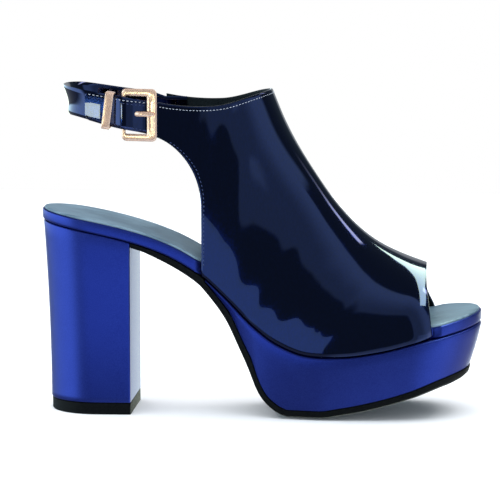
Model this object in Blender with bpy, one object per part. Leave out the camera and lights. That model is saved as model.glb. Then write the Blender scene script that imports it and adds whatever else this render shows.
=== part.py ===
# Peep toe slingback platform pump, right shoe, in Blender 4.5.
# Lengths are in millimetres and turned into metres where a mesh is made.
# X runs from the heel to the toe, Y from the outer (lateral) side to the inner (medial) side, Z up from the floor.
import bpy
import bmesh
import numpy as np
from math import cos, pi, radians, sin, sqrt

MM = 0.001

# Driving dimensions of the last and the sole
shoe_length = 225.0
heel_height = 98.0          # floor to the underside of the insole board, at the back
platform_height = 32.9      # floor to the underside of the insole board, at its lowest
toe_spring = 14.7           # rise of the board's underside from there to the tip
heel_width = 51.0
waist_width = 48.0
ball_width = 84.0
heel_round = 27.0           # length of the rounded back end
toe_round = 36.0            # length of the rounded toe end

# Sheets and pieces of the bottom
board_thickness = 5.6
sock_thickness = 0.8
outsole_thickness = 3.0
seat_edge = 1.2             # chamfer on the board's lower edge and on the platform's upper edge
board_edge = 0.7            # chamfer on the board's upper edge
rand_inset = 0.2
rand_ramp = 3.0             # the rand steps in behind the upper over this length
sock_inset = 1.0
outsole_edge = 0.35         # the outsole's upper edge stands out by this, its lower edge is in by it
heel_inset = 0.8
outsole_inset = 1.3         # at the waist
platform_taper = 6.0        # how much further in the platform's foot is than its top
tread_bevel = 9.0           # width of the bevel round the tread
tread_lift = 1.6            # rise of that bevel
heel_length = 47.6          # back of the last to the heel breast
heel_lean = 3.6             # the back of the heel moves in by this towards the floor
top_piece_height = 6.0
top_piece_inset = 0.5
platform_start = 86.0

# Upper
wall = 1.8
instep_height = 162.8       # top of the tongue-like front of the collar
instep_reach = 118.0        # back of the last to that point
collar_dip = 2.9            # the collar is lower by this where the tabs begin
collar_sag = 3.6            # and hangs by this between there and the instep
peep_height = 76.5          # top of the toe opening
peep_setback = 27.7         # its top lies this far behind the tip of the last
peep_foot_setback = 22.7    # and it meets the sole this far behind the tip
quarter_reach = 84.0        # back of the last to the upright rear edge of the quarters
quarter_top = 106.0         # the rear edge starts to curve back here
tab_reach = 61.0            # the quarters end and the tabs begin here
tab_height = 17.7           # height of the tabs there
tab_length = 35.4           # of the lateral tab, which passes through the buckle
ankle_width = 56.0
ridge_shift = 2.0           # the ridge moves this far to the medial side at the toe
feather_tuck = 1.0          # the upper turns in by this where it meets the sole
tuck_height = 2.6
crease_reach = 22.0         # the width follows the sole's outline exactly only near the sole

# Strap and buckle
strap_thickness = 1.3
strap_back = 14.8           # rear of the strap's middle line
strap_round_reach = 36.0    # the strap's rounded back starts here
strap_rise = 7.0            # the strap's upper edge is higher by this at the back than at the quarters
strap_height = 14.8         # behind the heel
strap_flare = 3.2           # behind the heel the strap's upper edge stands back by this
foot_flare = 0.5            # and its lower edge by this
strap_inset = 3.9           # beside the ankle the strap's middle line lies inside the upper's face by this
strap_overlap = 11.0        # length of the strap inside the medial quarter
tab_round = 2.4
frame_length = 18.1
frame_height = 26.4
frame_thickness = 2.0
frame_corner = 2.4
window_corner = 0.6
rear_bar = 2.0
front_bar = 5.1
side_bar = 3.7
buckle_setback = 15.9       # the rear bar lies this far behind the front end of the tabs
buckle_drop = 6.7           # the buckle's middle lies this far below the collar there
hole_setback = 4.7          # the tab's hole ends this far behind the front bar
hole_length = 3.2
prong_thickness = 1.2
prong_width = 1.4
prong_setback = 2.2         # the prong's height is the tab's middle this far in front of the rear bar
keeper_setback = 7.8        # the keeper lies this far behind the rear bar
keeper_width = 3.6
keeper_thickness = 0.9
keeper_corner = 0.4
keeper_lean = radians(11.0)

gap = 0.3                   # between pieces that touch

# Places that follow from these sizes
outsole_start = heel_length + gap
collar_height = instep_height - collar_dip
tab_foot = collar_height - tab_height
peep_reach = shoe_length - peep_setback
peep_foot = shoe_length - peep_foot_setback
tab_end = tab_reach - tab_length
strap_side = ankle_width / 2 - strap_inset
fold_radius = rear_bar / 2 + gap + strap_thickness / 2
rear_bar_reach = tab_reach - buckle_setback
rear_bar_side = strap_side + fold_radius
front_bar_start = rear_bar_reach - rear_bar / 2 + frame_length - front_bar
buckle_middle = collar_height - buckle_drop
keeper_reach = rear_bar_reach - keeper_setback
hole_front = front_bar_start - hole_setback
hole_back = hole_front - hole_length

# Flat part of the tread that stands on the floor, as shares of the length
flat_start = 0.569
flat_end = 0.640

# Underside of the insole board: share of the length, share of the heel's rise, share of the toe spring
seat_line = [
    (0.000, 1.000, 0.000),
    (0.089, 0.946, 0.000),
    (0.187, 0.873, 0.000),
    (0.280, 0.771, 0.000),
    (0.367, 0.610, 0.000),
    (0.431, 0.421, 0.000),
    (0.489, 0.226, 0.000),
    (0.547, 0.086, 0.000),
    (0.609, 0.011, 0.000),
    (0.644, 0.000, 0.000),
    (0.689, 0.000, 0.014),
    (0.778, 0.000, 0.204),
    (0.867, 0.000, 0.558),
    (1.000, 0.000, 1.000),
]

# Underside of the outsole: share of the length, share of the seat line's height there
tread_line = [
    (0.180, 0.971),
    (0.234, 0.968),
    (0.280, 0.955),
    (0.324, 0.944),
    (0.365, 0.931),
    (0.388, 0.903),
    (0.425, 0.832),
    (0.461, 0.647),
    (0.480, 0.509),
    (0.498, 0.325),
    (0.516, 0.192),
    (0.535, 0.100),
    (0.553, 0.032),
    (flat_start, 0.000),
    (flat_end, 0.000),
    (0.689, 0.051),
    (0.755, 0.137),
    (0.844, 0.266),
    (0.916, 0.380),
    (0.973, 0.432),
    (1.000, 0.450),
]

# Plan outline: share of the length, the width it is a share of, lateral share, medial share
outline_table = [
    (0.000, heel_width, 0.500, 0.500),
    (0.133, heel_width, 0.510, 0.490),
    (0.267, waist_width, 0.530, 0.470),
    (0.373, waist_width, 0.562, 0.448),
    (0.467, ball_width, 0.375, 0.298),
    (0.556, ball_width, 0.435, 0.369),
    (0.644, ball_width, 0.476, 0.434),
    (0.733, ball_width, 0.488, 0.482),
    (0.822, ball_width, 0.482, 0.512),
    (1.000, ball_width, 0.460, 0.512),
]

# Instep ridge from the collar to the toe opening: share of the reach, share of the drop
ridge_line = [
    (0.000, 0.000),
    (0.035, 0.060),
    (0.088, 0.172),
    (0.170, 0.316),
    (0.270, 0.458),
    (0.371, 0.598),
    (0.455, 0.692),
    (0.553, 0.786),
    (0.687, 0.880),
    (0.873, 0.960),
    (1.000, 1.000),
]

# Girth sections of the upper: share of the base line behind them, share of the ridge,
# how much wider they grow above the base, how square their shoulders are, sag of the line, shift of the ridge
sections = [
    (0.000, 0.000, 0.00, 3.20, 1.00, 0.00),
    (0.075, 0.045, 0.00, 3.00, 0.45, 0.00),
    (0.180, 0.130, 0.00, 2.80, 0.10, 0.00),
    (0.265, 0.240, 0.01, 2.50, 0.00, 0.00),
    (0.345, 0.330, 0.05, 2.25, 0.00, 0.00),
    (0.415, 0.430, 0.09, 2.05, 0.00, 0.10),
    (0.500, 0.545, 0.10, 1.90, 0.00, 0.25),
    (0.600, 0.670, 0.08, 1.82, 0.00, 0.45),
    (0.700, 0.785, 0.06, 1.85, 0.00, 0.65),
    (0.805, 0.885, 0.045, 1.95, 0.00, 0.85),
    (0.905, 0.950, 0.02, 2.10, 0.00, 1.00),
    (1.000, 1.000, 0.00, 2.30, 0.00, 1.00),
]

# Tab through the buckle: place along it, from -1 at its end by 0 at the rear bar to 1 at the quarter,
# and share of its way out from lying on the strap to passing over the folded strap on the bar
tab_plan = [
    (-1.000, -0.224),
    (-0.672, 0.012),
    (-0.400, 0.129),
    (-0.292, 0.318),
    (-0.215, 0.529),
    (-0.138, 0.765),
    (0.000, 1.024),
    (0.258, 0.859),
    (0.459, 0.553),
    (0.723, 0.247),
    (1.000, 0.365),
]
# The same places for the cross sections between them
tab_columns = (0.862, 0.723, 0.597, 0.0, -0.128, -0.215, -0.292, -0.4, -0.538, -0.672, -0.805, -0.918, -0.974, -1.0)
# Cross rows of the upper at the tabs and of the strap, as shares of their height; the hole takes the middle one
tab_rows = (0.0, 0.2, 0.4, 0.6, 0.8, 1.0)
hole_row = 2

# Strap and tabs: share of the way from the tabs' front end to the back, share of the rise of the upper edge,
# share of the change in height
strap_edges = [
    (0.000, 0.000, 0.000),
    (0.130, 0.143, 0.310),
    (0.303, 0.300, 0.517),
    (0.498, 0.471, 0.621),
    (0.736, 0.714, 1.034),
    (0.931, 0.943, 1.069),
    (1.017, 1.000, 1.000),
]

# Free end of the folded strap behind the bar, as shares of the fold's radius
fold_end = [(-0.82, -0.74), (-1.49, -0.31), (-1.79, -0.05)]

# Prong from the bar to the front bar: share of the frame's opening behind the front bar,
# and share of its height over the frame's middle
prong_line = [(0.764, 0.21), (0.609, 0.48), (0.418, 1.13), (0.145, 1.19)]

# Rear edge of the quarter, the curve's two handles: share of its reach, share of its drop
quarter_handles = [(0.56, 0.13), (1.00, 0.50)]


def smooth(table, x, column=1):
    """A curve without overshoot through one column of a table, read at x."""
    xs = np.array([row[0] for row in table], float)
    ys = np.array([row[column] for row in table], float)
    h = np.diff(xs)
    d = np.diff(ys) / h
    slope = np.zeros(len(xs))
    for i in range(1, len(xs) - 1):
        if d[i - 1] * d[i] > 0.0:
            w1 = 2.0 * h[i] + h[i - 1]
            w2 = h[i] + 2.0 * h[i - 1]
            slope[i] = (w1 + w2) / (w1 / d[i - 1] + w2 / d[i])
    slope[0] = d[0]
    slope[-1] = d[-1]
    x = min(max(float(x), xs[0]), xs[-1])
    i = min(int(np.searchsorted(xs, x, side="right")) - 1, len(xs) - 2)
    t = (x - xs[i]) / h[i]
    a = ys[i] * (1 + 2 * t) * (1 - t) ** 2 + slope[i] * h[i] * t * (1 - t) ** 2
    b = ys[i + 1] * t * t * (3 - 2 * t) + slope[i + 1] * h[i] * t * t * (t - 1)
    return float(a + b)


def slope_of(height, x, step=0.5):
    return (height(x + step) - height(x - step)) / (2 * step)


def seat(x):
    """Height of the underside of the insole board."""
    u = x / shoe_length
    heel_part = smooth(seat_line, u, 1) * (heel_height - platform_height)
    return platform_height + heel_part + smooth(seat_line, u, 2) * toe_spring


def normal_rise(height, x, thickness):
    """Upright measure of a sheet that is thickness thick across a sloping line."""
    return thickness * sqrt(1.0 + slope_of(height, x) ** 2)


def board_top(x):
    return seat(x) + normal_rise(seat, x, board_thickness)


def tread(x):
    """Height of the underside of the outsole along its middle."""
    return smooth(tread_line, x / shoe_length) * seat(x)


def outsole_top(x):
    if x < platform_start - gap:
        return seat(x) - gap
    return tread(x) + tread_lift * lift_share(x) + normal_rise(tread, x, outsole_thickness)


def lift_share(x):
    """The tread's bevel fades out up the back of the platform and at the waist."""
    return float(np.clip((x - 0.50 * shoe_length) / (0.06 * shoe_length), 0.0, 1.0))


def half_width(x, side):
    u = x / shoe_length
    widths = [(row[0], row[1] * row[2 if side < 0 else 3]) for row in outline_table]
    half = smooth(widths, u)
    if x < heel_round:
        half *= sqrt(max(0.0, 1.0 - ((heel_round - x) / heel_round) ** 2))
    if x > shoe_length - toe_round:
        half *= sqrt(max(0.0, 1.0 - ((x - shoe_length + toe_round) / toe_round) ** 2))
    return half


def outline(x, side, inset=0.0):
    """A point of the plan outline, moved in by inset across it."""
    x = min(max(x, 0.0), shoe_length)
    y = half_width(x, side)
    step = 0.05
    a = max(x - step, 0.0)
    b = min(x + step, shoe_length)
    dx, dy = b - a, half_width(b, side) - half_width(a, side)
    if x <= 0.0:
        dx, dy = 0.0, 1.0
    if x >= shoe_length:
        dx, dy = 0.0, -1.0
    size = sqrt(dx * dx + dy * dy)
    return x + inset * dy / size, side * (y - inset * dx / size)


def stations(start, end, count):
    """Places along the sole, close together where an end is rounded."""
    cuts = []
    first = heel_round if start < heel_round else start
    last = shoe_length - toe_round if end > shoe_length - toe_round else end
    if start < heel_round:
        cuts += [heel_round - (heel_round - start) * cos(pi / 2 * i / count) for i in range(count)]
    middle = max(2, int(round((last - first) / (shoe_length / (3.0 * count)))))
    cuts += [first + (last - first) * i / middle for i in range(middle)]
    if end > shoe_length - toe_round:
        cuts += [last + (end - last) * sin(pi / 2 * i / count) for i in range(count)]
    return cuts + [end]


def make_material(name, colour, roughness, metallic=0.0, coat=0.0):
    material = bpy.data.materials.new(name)
    material.use_nodes = True
    shader = material.node_tree.nodes["Principled BSDF"]
    shader.inputs["Base Color"].default_value = (*colour, 1.0)
    shader.inputs["Roughness"].default_value = roughness
    shader.inputs["Metallic"].default_value = metallic
    shader.inputs["Coat Weight"].default_value = coat
    return material


def make_object(name, points, faces, material, parent):
    """One closed piece from points in millimetres."""
    mesh = bpy.data.meshes.new(name)
    mesh.from_pydata([tuple(c * MM for c in p) for p in points], [], faces)
    bm = bmesh.new()
    bm.from_mesh(mesh)
    bmesh.ops.remove_doubles(bm, verts=bm.verts, dist=0.01 * MM)
    bmesh.ops.recalc_face_normals(bm, faces=bm.faces)
    bm.to_mesh(mesh)
    bm.free()
    mesh.shade_smooth()
    mesh.set_sharp_from_angle(angle=radians(35.0))
    mesh.materials.append(material)
    piece = bpy.data.objects.new(name, mesh)
    bpy.context.scene.collection.objects.link(piece)
    piece.parent = parent
    return piece


def sole_piece(name, cuts, levels, material, parent):
    """A stack of outline rings, closed above and below by strips across the sole.
    Each level is (inset function, height function), from the top down."""
    points, faces = [], []
    count = len(cuts)
    for inset, height in levels:
        for side in (-1, 1):
            for x in cuts:
                px, py = outline(x, side, inset(x))
                points.append((px, py, height(px)))
    ring = 2 * count

    def at(level, side, i):
        return level * ring + (0 if side < 0 else count) + i

    last = len(levels) - 1
    for i in range(count - 1):
        faces.append((at(0, -1, i), at(0, -1, i + 1), at(0, 1, i + 1), at(0, 1, i)))
        faces.append((at(last, -1, i), at(last, 1, i), at(last, 1, i + 1), at(last, -1, i + 1)))
    for level in range(last):
        for i in range(count - 1):
            for side in (-1, 1):
                faces.append((at(level, side, i), at(level + 1, side, i),
                              at(level + 1, side, i + 1), at(level, side, i + 1)))
        for i in (0, count - 1):
            faces.append((at(level, -1, i), at(level, 1, i), at(level + 1, 1, i), at(level + 1, -1, i)))
    return make_object(name, points, drop_flat(points, faces), material, parent)


def drop_flat(points, faces):
    """Leaves out the faces that the rounded ends close to nothing, and the doubled corners of the others."""
    kept = []
    for face in faces:
        corners = []
        for index in face:
            p = np.array(points[index])
            if all(np.linalg.norm(p - np.array(points[j])) > 0.01 for j in corners):
                corners.append(index)
        if len(corners) > 2:
            kept.append(tuple(corners))
    return kept


def under_upper(x):
    """1 where the upper wraps the board's side, 0 where the rand shows, with short ramps outside the upper."""
    back = (x - (quarter_reach - gap - rand_ramp)) / rand_ramp
    front = (peep_foot + gap + rand_ramp - x) / rand_ramp
    return float(np.clip(min(back, front), 0.0, 1.0))


def board_inset(x):
    return rand_inset + under_upper(x) * (feather_tuck + wall + gap)


def build_insole(materials, parent):
    cuts = [x for x in stations(0.0, shoe_length, 8) if x < quarter_reach - 2 * rand_ramp] + lower_cuts()
    cuts += [quarter_reach - gap - rand_ramp, quarter_reach - gap, peep_foot + gap, peep_foot + gap + rand_ramp]
    cuts = sorted(cuts)
    sole_piece("insole_board", cuts, [
        (lambda x: board_inset(x) + board_edge, board_top),
        (board_inset, lambda x: board_top(x) - board_edge),
        (board_inset, lambda x: seat(x) + seat_edge * 0.6),
        (lambda x: board_inset(x) + seat_edge, seat),
    ], materials["blue"], parent)
    sole_piece("insole_sock", cuts, [
        (lambda x: board_inset(x) + sock_inset, lambda x: board_top(x) + gap + sock_thickness),
        (lambda x: board_inset(x) + sock_inset, lambda x: board_top(x) + gap),
    ], materials["sock"], parent)


def foot_inset(x):
    """Inset of the platform's foot and of the outsole, from the waist to the tread."""
    share = np.clip((x - platform_start) / (flat_start * shoe_length - platform_start), 0.0, 1.0)
    return outsole_inset + float(share) * (platform_taper - outsole_inset)


def platform_foot(x):
    return outsole_top(x) + normal_rise(tread, x, gap)


def lower_cuts():
    """Stations shared by platform and outsole, close together up the back of the platform."""
    steps = 12
    reach = flat_start * shoe_length - platform_start
    back = [platform_start + reach * i / steps for i in range(steps)]
    return sorted(back + stations(flat_start * shoe_length, shoe_length, 9) + [flat_end * shoe_length])


def build_platform(materials, parent):
    cuts = lower_cuts()

    def top(x):
        return seat(x) - gap

    def level(share):
        def height(x):
            high, low = top(x), platform_foot(x)
            return low + share * (high - low)
        return height

    def wall_inset(share):
        def inset(x):
            return rand_inset + (1.0 - share) * (foot_inset(x) - rand_inset)
        return inset

    def edge(x):
        return min(seat_edge * 1.4, 0.3 * (top(x) - platform_foot(x)))

    sole_piece("platform", cuts, [
        (lambda x: rand_inset + 1.2 * edge(x), top),
        (wall_inset(0.97), lambda x: top(x) - edge(x)),
        (wall_inset(0.5), level(0.5)),
        (wall_inset(0.0), platform_foot),
    ], materials["blue"], parent)


def build_outsole(materials, parent):
    step_back = platform_start - gap
    cuts = [outsole_start + (step_back - outsole_start) * i / 8 for i in range(8)]
    cuts += [step_back - 0.1, step_back + 0.1] + lower_cuts()

    def bottom_inset(x):
        return foot_inset(x) + outsole_edge

    def tread_inset(x):
        return bottom_inset(x) + outsole_edge + tread_bevel * lift_share(x) * toe_share(x)

    def toe_share(x):
        return float(np.clip((shoe_length - x) / toe_round, 0.25, 1.0))

    def rim(x):
        return tread(x) + tread_lift * lift_share(x)

    sole_piece("outsole", cuts, [
        (lambda x: foot_inset(x) - outsole_edge, outsole_top),
        (bottom_inset, rim),
        (tread_inset, tread),
    ], materials["rubber"], parent)


def heel_ring(z, inset):
    """Outline of the heel at a height: the back leans in, the breast is flat."""
    lean = heel_lean * (1.0 - (z / heel_height) ** 2)
    cuts = [heel_round - heel_round * cos(pi / 2 * i / 8) for i in range(8)]
    cuts += [heel_round, 0.5 * (heel_round + heel_length), heel_length]
    lateral, medial = [], []
    for side, row in ((-1, lateral), (1, medial)):
        for x in cuts:
            px, py = outline(x, side, inset)
            squeeze = (heel_length - px) / heel_length
            row.append((px + lean * squeeze, py))
    return cuts, lateral, medial


def ring_stack(name, rings, material, parent):
    """Closed stack of rings of lateral and medial points, from the top down."""
    points, faces = [], []
    count = len(rings[0][0])
    for lateral, medial in rings:
        points += lateral + medial
    size = 2 * count
    last = len(rings) - 1
    for i in range(count - 1):
        faces.append((i, i + 1, count + i + 1, count + i))
        base = last * size
        faces.append((base + i, base + count + i, base + count + i + 1, base + i + 1))
    for level in range(last):
        a, b = level * size, (level + 1) * size
        for offset in (0, count):
            for i in range(offset, offset + count - 1):
                faces.append((a + i, b + i, b + i + 1, a + i + 1))
        for i in (0, count - 1):
            faces.append((a + i, a + count + i, b + count + i, b + i))
    return make_object(name, points, drop_flat(points, faces), material, parent)


def build_heel(materials, parent):
    rings = []
    for share in (1.0, 0.72, 0.42, 0.2, 0.0):
        low = top_piece_height + gap
        cuts, lateral, medial = heel_ring(low + share * (seat(0.0) - low), heel_inset)
        ring = []
        for row in (lateral, medial):
            ring.append([(px, py, low + share * (seat(x) - gap - low)) for x, (px, py) in zip(cuts, row)])
        rings.append(ring)
    ring_stack("heel", rings, materials["blue"], parent)
    rings = []
    for z in (top_piece_height, 0.0):
        cuts, lateral, medial = heel_ring(z, heel_inset + top_piece_inset)
        limit = heel_length - top_piece_inset
        rings.append([[(min(px, limit), py, z) for px, py in row] for row in (lateral, medial)])
    ring_stack("top_piece", rings, materials["rubber"], parent)


def along(line, share):
    """A point at a share of a polyline's length."""
    line = np.asarray(line, float)
    steps = np.linalg.norm(np.diff(line, axis=0), axis=1)
    run = np.concatenate([[0.0], np.cumsum(steps)])
    target = share * run[-1]
    return np.array([np.interp(target, run, line[:, c]) for c in range(line.shape[1])])


def base_line():
    """From the tab's upper edge down the rear edge of the quarter and forward along the sole, as (x, z),
    with the index of the quarter's lower rear corner."""
    points = [(tab_reach, collar_height - tab_height * i / 6) for i in range(6)]
    start = np.array([tab_reach, tab_foot])
    end = np.array([quarter_reach, quarter_top])
    first, second = (start + np.array(handle) * (end - start) for handle in quarter_handles)
    for i in range(12):
        t = i / 12
        p = (1 - t) ** 3 * start + 3 * t * (1 - t) ** 2 * first + 3 * t * t * (1 - t) * second + t ** 3 * end
        points.append(tuple(p))
    foot = seat(quarter_reach)
    points += [(quarter_reach, quarter_top + (foot - quarter_top) * i / 6) for i in range(6)]
    corner = len(points)
    reach = peep_foot - quarter_reach
    points += [(quarter_reach + reach * i / 60, seat(quarter_reach + reach * i / 60)) for i in range(61)]
    return points, corner


def ridge(share):
    """The instep ridge as (x, z), by share of its length."""
    line = []
    for i in range(61):
        u = i / 60
        x = instep_reach + u * (peep_reach - instep_reach)
        z = instep_height + smooth(ridge_line, u) * (peep_height - instep_height)
        line.append((x, z))
    return along(line, share)


base_points, corner_index = base_line()


def on_the_sole(x, z):
    return x > quarter_reach - 0.01 and z < seat(x) + gap


def base_width(x, z, side):
    """Half width of the upper where a section starts: the ankle's above, the sole's outline below."""
    low = half_width(quarter_reach, side)
    high = ankle_width / 2
    if on_the_sole(x, z):
        return half_width(x, side)
    share = np.clip((z - seat(quarter_reach)) / (tab_foot - seat(quarter_reach)), 0.0, 1.0)
    rise = float(np.sin(pi / 2 * share))
    return low + (high - low) * rise


def soft_width(base_share, side):
    """Half width averaged along the base line, so that no crease runs up from the quarter's corner."""
    reach = 0.07 * (1.0 - ease((base_share - 0.55) / 0.2))
    total, weight = 0.0, 0.0
    for i in range(-6, 7):
        part = 1.0 - (i / 7.0) ** 2
        x, z = along(base_points, min(max(base_share + reach * i / 6.0, 0.0), 1.0))
        total += part * base_width(x, z, side)
        weight += part
    return total / weight


def ease(share):
    share = min(max(share, 0.0), 1.0)
    return share * share * (3.0 - 2.0 * share)


def section(base_share, side, count):
    """Points of one side of a girth section, from its base to the ridge, about evenly spaced."""
    base = along(base_points, base_share)
    ridge_share = smooth(sections, base_share, 1)
    top = ridge(ridge_share)
    grow = smooth(sections, base_share, 2)
    square = smooth(sections, base_share, 3)
    sag = smooth(sections, base_share, 4) * collar_sag
    shift = smooth(sections, base_share, 5) * ridge_shift
    on_sole = on_the_sole(*base)
    start = base_width(base[0], base[1], side)
    soft = soft_width(base_share, side)
    dense = []
    length = np.linalg.norm(top - base)
    for i in range(81):
        angle = pi / 2 * i / 80
        share = sin(angle) ** (2.0 / square)
        spread = cos(angle) * (1.0 - grow * (1.0 - share) ** 2)
        x, z = base + (top - base) * share
        z -= sag * 4.0 * share * (1.0 - share)
        half = start + (soft - start) * ease(share * length / crease_reach)
        y = side * (half - side * shift) / (1.0 - grow) * spread + shift
        if on_sole:
            low = max(0.0, 1.0 - share * length / tuck_height)
            y -= side * feather_tuck * low * low
        dense.append((x, y, z))
    edge = [0.0, 1.1, 2.6] if on_sole else [0.0, 1.5, 3.5]
    dense = np.array(dense)
    run = np.concatenate([[0.0], np.cumsum(np.linalg.norm(np.diff(dense, axis=0), axis=1))])
    places = edge + [edge[-1] + (run[-1] - edge[-1]) * (i + 1) / count for i in range(count)]
    return [tuple(np.interp(p, run, dense[:, c]) for c in range(3)) for p in places]


def sheet_solid(name, points, quads, thickness, fixed, material, parent):
    """Thickens a sheet towards its inside. fixed gives the inward direction of chosen points."""
    normal = np.zeros((len(points), 3))
    p = np.array(points)
    for quad in quads:
        a, b, c, d = (p[i] for i in quad)
        n = np.cross(c - a, d - b)
        for i in quad:
            normal[i] += n
    normal /= np.linalg.norm(normal, axis=1)[:, None] + 1e-12
    for i, direction in fixed.items():
        normal[i] = direction
    inner = p - normal * thickness
    count = len(points)
    faces = [tuple(q) for q in quads]
    faces += [tuple(i + count for i in reversed(q)) for q in quads]
    edges = {}
    for quad in quads:
        for i in range(4):
            a, b = quad[i], quad[(i + 1) % 4]
            edges[(a, b)] = True
    for a, b in edges:
        if (b, a) not in edges:
            faces.append((b, a, a + count, b + count))
    return make_object(name, list(map(tuple, p)) + list(map(tuple, inner)), faces, material, parent)


def strap_top(reach):
    share = (tab_reach - reach) / (tab_reach - strap_back)
    return collar_height + smooth(strap_edges, share, 1) * strap_rise


def strap_foot(reach):
    share = (tab_reach - reach) / (tab_reach - strap_back)
    return strap_top(reach) - tab_height - smooth(strap_edges, share, 2) * (strap_height - tab_height)


def tab_place(along_tab):
    """Reach of a place of the tab, from -1 at its end by 0 at the rear bar to 1 at the quarter."""
    span = tab_reach - rear_bar_reach if along_tab > 0.0 else rear_bar_reach - tab_end
    return rear_bar_reach + along_tab * span


def tab_face(reach):
    """Lateral place of the tab's outer face: on the strap behind, over the bar's fold, on the quarter in front."""
    on_strap = strap_side + strap_thickness / 2 + wall
    over_bar = rear_bar_side + rear_bar / 2 + strap_thickness + wall + 2 * gap
    faces = [(tab_place(row[0]), on_strap + row[1] * (over_bar - on_strap)) for row in tab_plan]
    return smooth(faces, reach)


def build_upper(materials, parent):
    half_columns = 11
    # the base line's first stretch is the height of the tabs
    steps = np.linalg.norm(np.diff(np.array(base_points), axis=0), axis=1)
    total = np.sum(steps)
    tab_share = tab_height / total
    shares = [tab_share * row for row in tab_rows]
    shares += [tab_share + (1.0 - tab_share) * (i + 1) / 28 for i in range(28)]
    corner = np.sum(steps[:corner_index]) / total
    nearest = min(range(len(shares)), key=lambda i: abs(shares[i] - corner))
    shares[nearest] = corner
    points, index, fixed = [], {}, {}
    for r, share in enumerate(shares):
        lateral = section(share, -1, half_columns)
        medial = section(share, 1, half_columns)
        row = lateral + medial[-2::-1]
        for c, point in enumerate(row):
            index[(r, c)] = len(points)
            points.append(point)
        base = along(base_points, share)
        if share >= corner - 1e-6:
            for c, side in ((0, -1), (len(row) - 1, 1)):
                ox, oy = outline(base[0], side, 1.0)
                fixed[index[(r, c)]] = np.array([base[0] - ox, side * half_width(base[0], side) - oy, 0.0])
    columns = 2 * (half_columns + 3) - 1
    quads = []
    for r in range(len(shares) - 1):
        for c in range(columns - 1):
            quads.append((index[(r, c)], index[(r + 1, c)], index[(r + 1, c + 1)], index[(r, c + 1)]))
    # the lateral tab, back from the quarter
    previous = {r: index[(r, 0)] for r in range(len(tab_rows))}
    reaches = [tab_place(column) for column in tab_columns] + [hole_front, hole_back]
    for reach in sorted(reaches, reverse=True):
        top, foot = strap_top(reach), strap_foot(reach)
        squeeze = tip_squeeze(reach)
        middle = 0.5 * (top + foot)
        current = {}
        for r, row in enumerate(tab_rows):
            z = top + (foot - top) * row
            z = middle + (z - middle) * squeeze
            current[r] = len(points)
            points.append((reach, -tab_face(reach), z))
        for r in range(len(tab_rows) - 1):
            if reach != hole_back or r != hole_row:
                quads.append((current[r], current[r + 1], previous[r + 1], previous[r]))
        previous = current
    sheet_solid("upper", points, quads, wall, fixed, materials["patent"], parent)


def tip_squeeze(reach):
    """The tab's end is rounded off."""
    into = (reach - tab_end) / tab_round
    return 1.0 if into > 1.0 else 0.7 + 0.3 * sqrt(1.0 - (1.0 - into) ** 2)


def strap_middle_line():
    """Plan of the strap: from inside the medial quarter round the heel to the buckle, folded round its bar,
    with the index at which the fold starts."""
    medial_side = ankle_width / 2 - wall - gap - strap_thickness / 2
    leave = tab_reach - 0.45 * strap_overlap
    line = [(tab_reach + strap_overlap, medial_side), (tab_reach + 0.36 * strap_overlap, medial_side),
            (leave, medial_side)]
    line.append((strap_round_reach + 0.6 * (leave - strap_round_reach),
                 strap_side + 0.78 * (medial_side - strap_side)))
    depth = strap_round_reach - strap_back
    for i in range(17):
        angle = pi * i / 16
        spread = cos(angle)
        reach = strap_round_reach - depth * sin(angle) ** 0.9
        line.append((reach, strap_side * np.sign(spread) * abs(spread) ** 0.8))
    line.append((rear_bar_reach - 3.1 * fold_radius, -strap_side))
    line.append((rear_bar_reach - 1.64 * fold_radius, -strap_side))
    fold = len(line)
    for i in range(9):
        angle = pi / 2 - pi * i / 8
        line.append((rear_bar_reach + fold_radius * cos(angle), -rear_bar_side + fold_radius * sin(angle)))
    for behind, side in fold_end:
        line.append((rear_bar_reach + behind * fold_radius, -rear_bar_side + side * fold_radius))
    return line, fold


def strap_lean(row):
    """How far the strap stands out behind the heel, by share of its height."""
    waist = 0.35
    return strap_flare * max(0.0, (row - waist) / (1 - waist)) ** 1.5 + foot_flare * max(0.0, 1.0 - row / waist)


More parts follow.
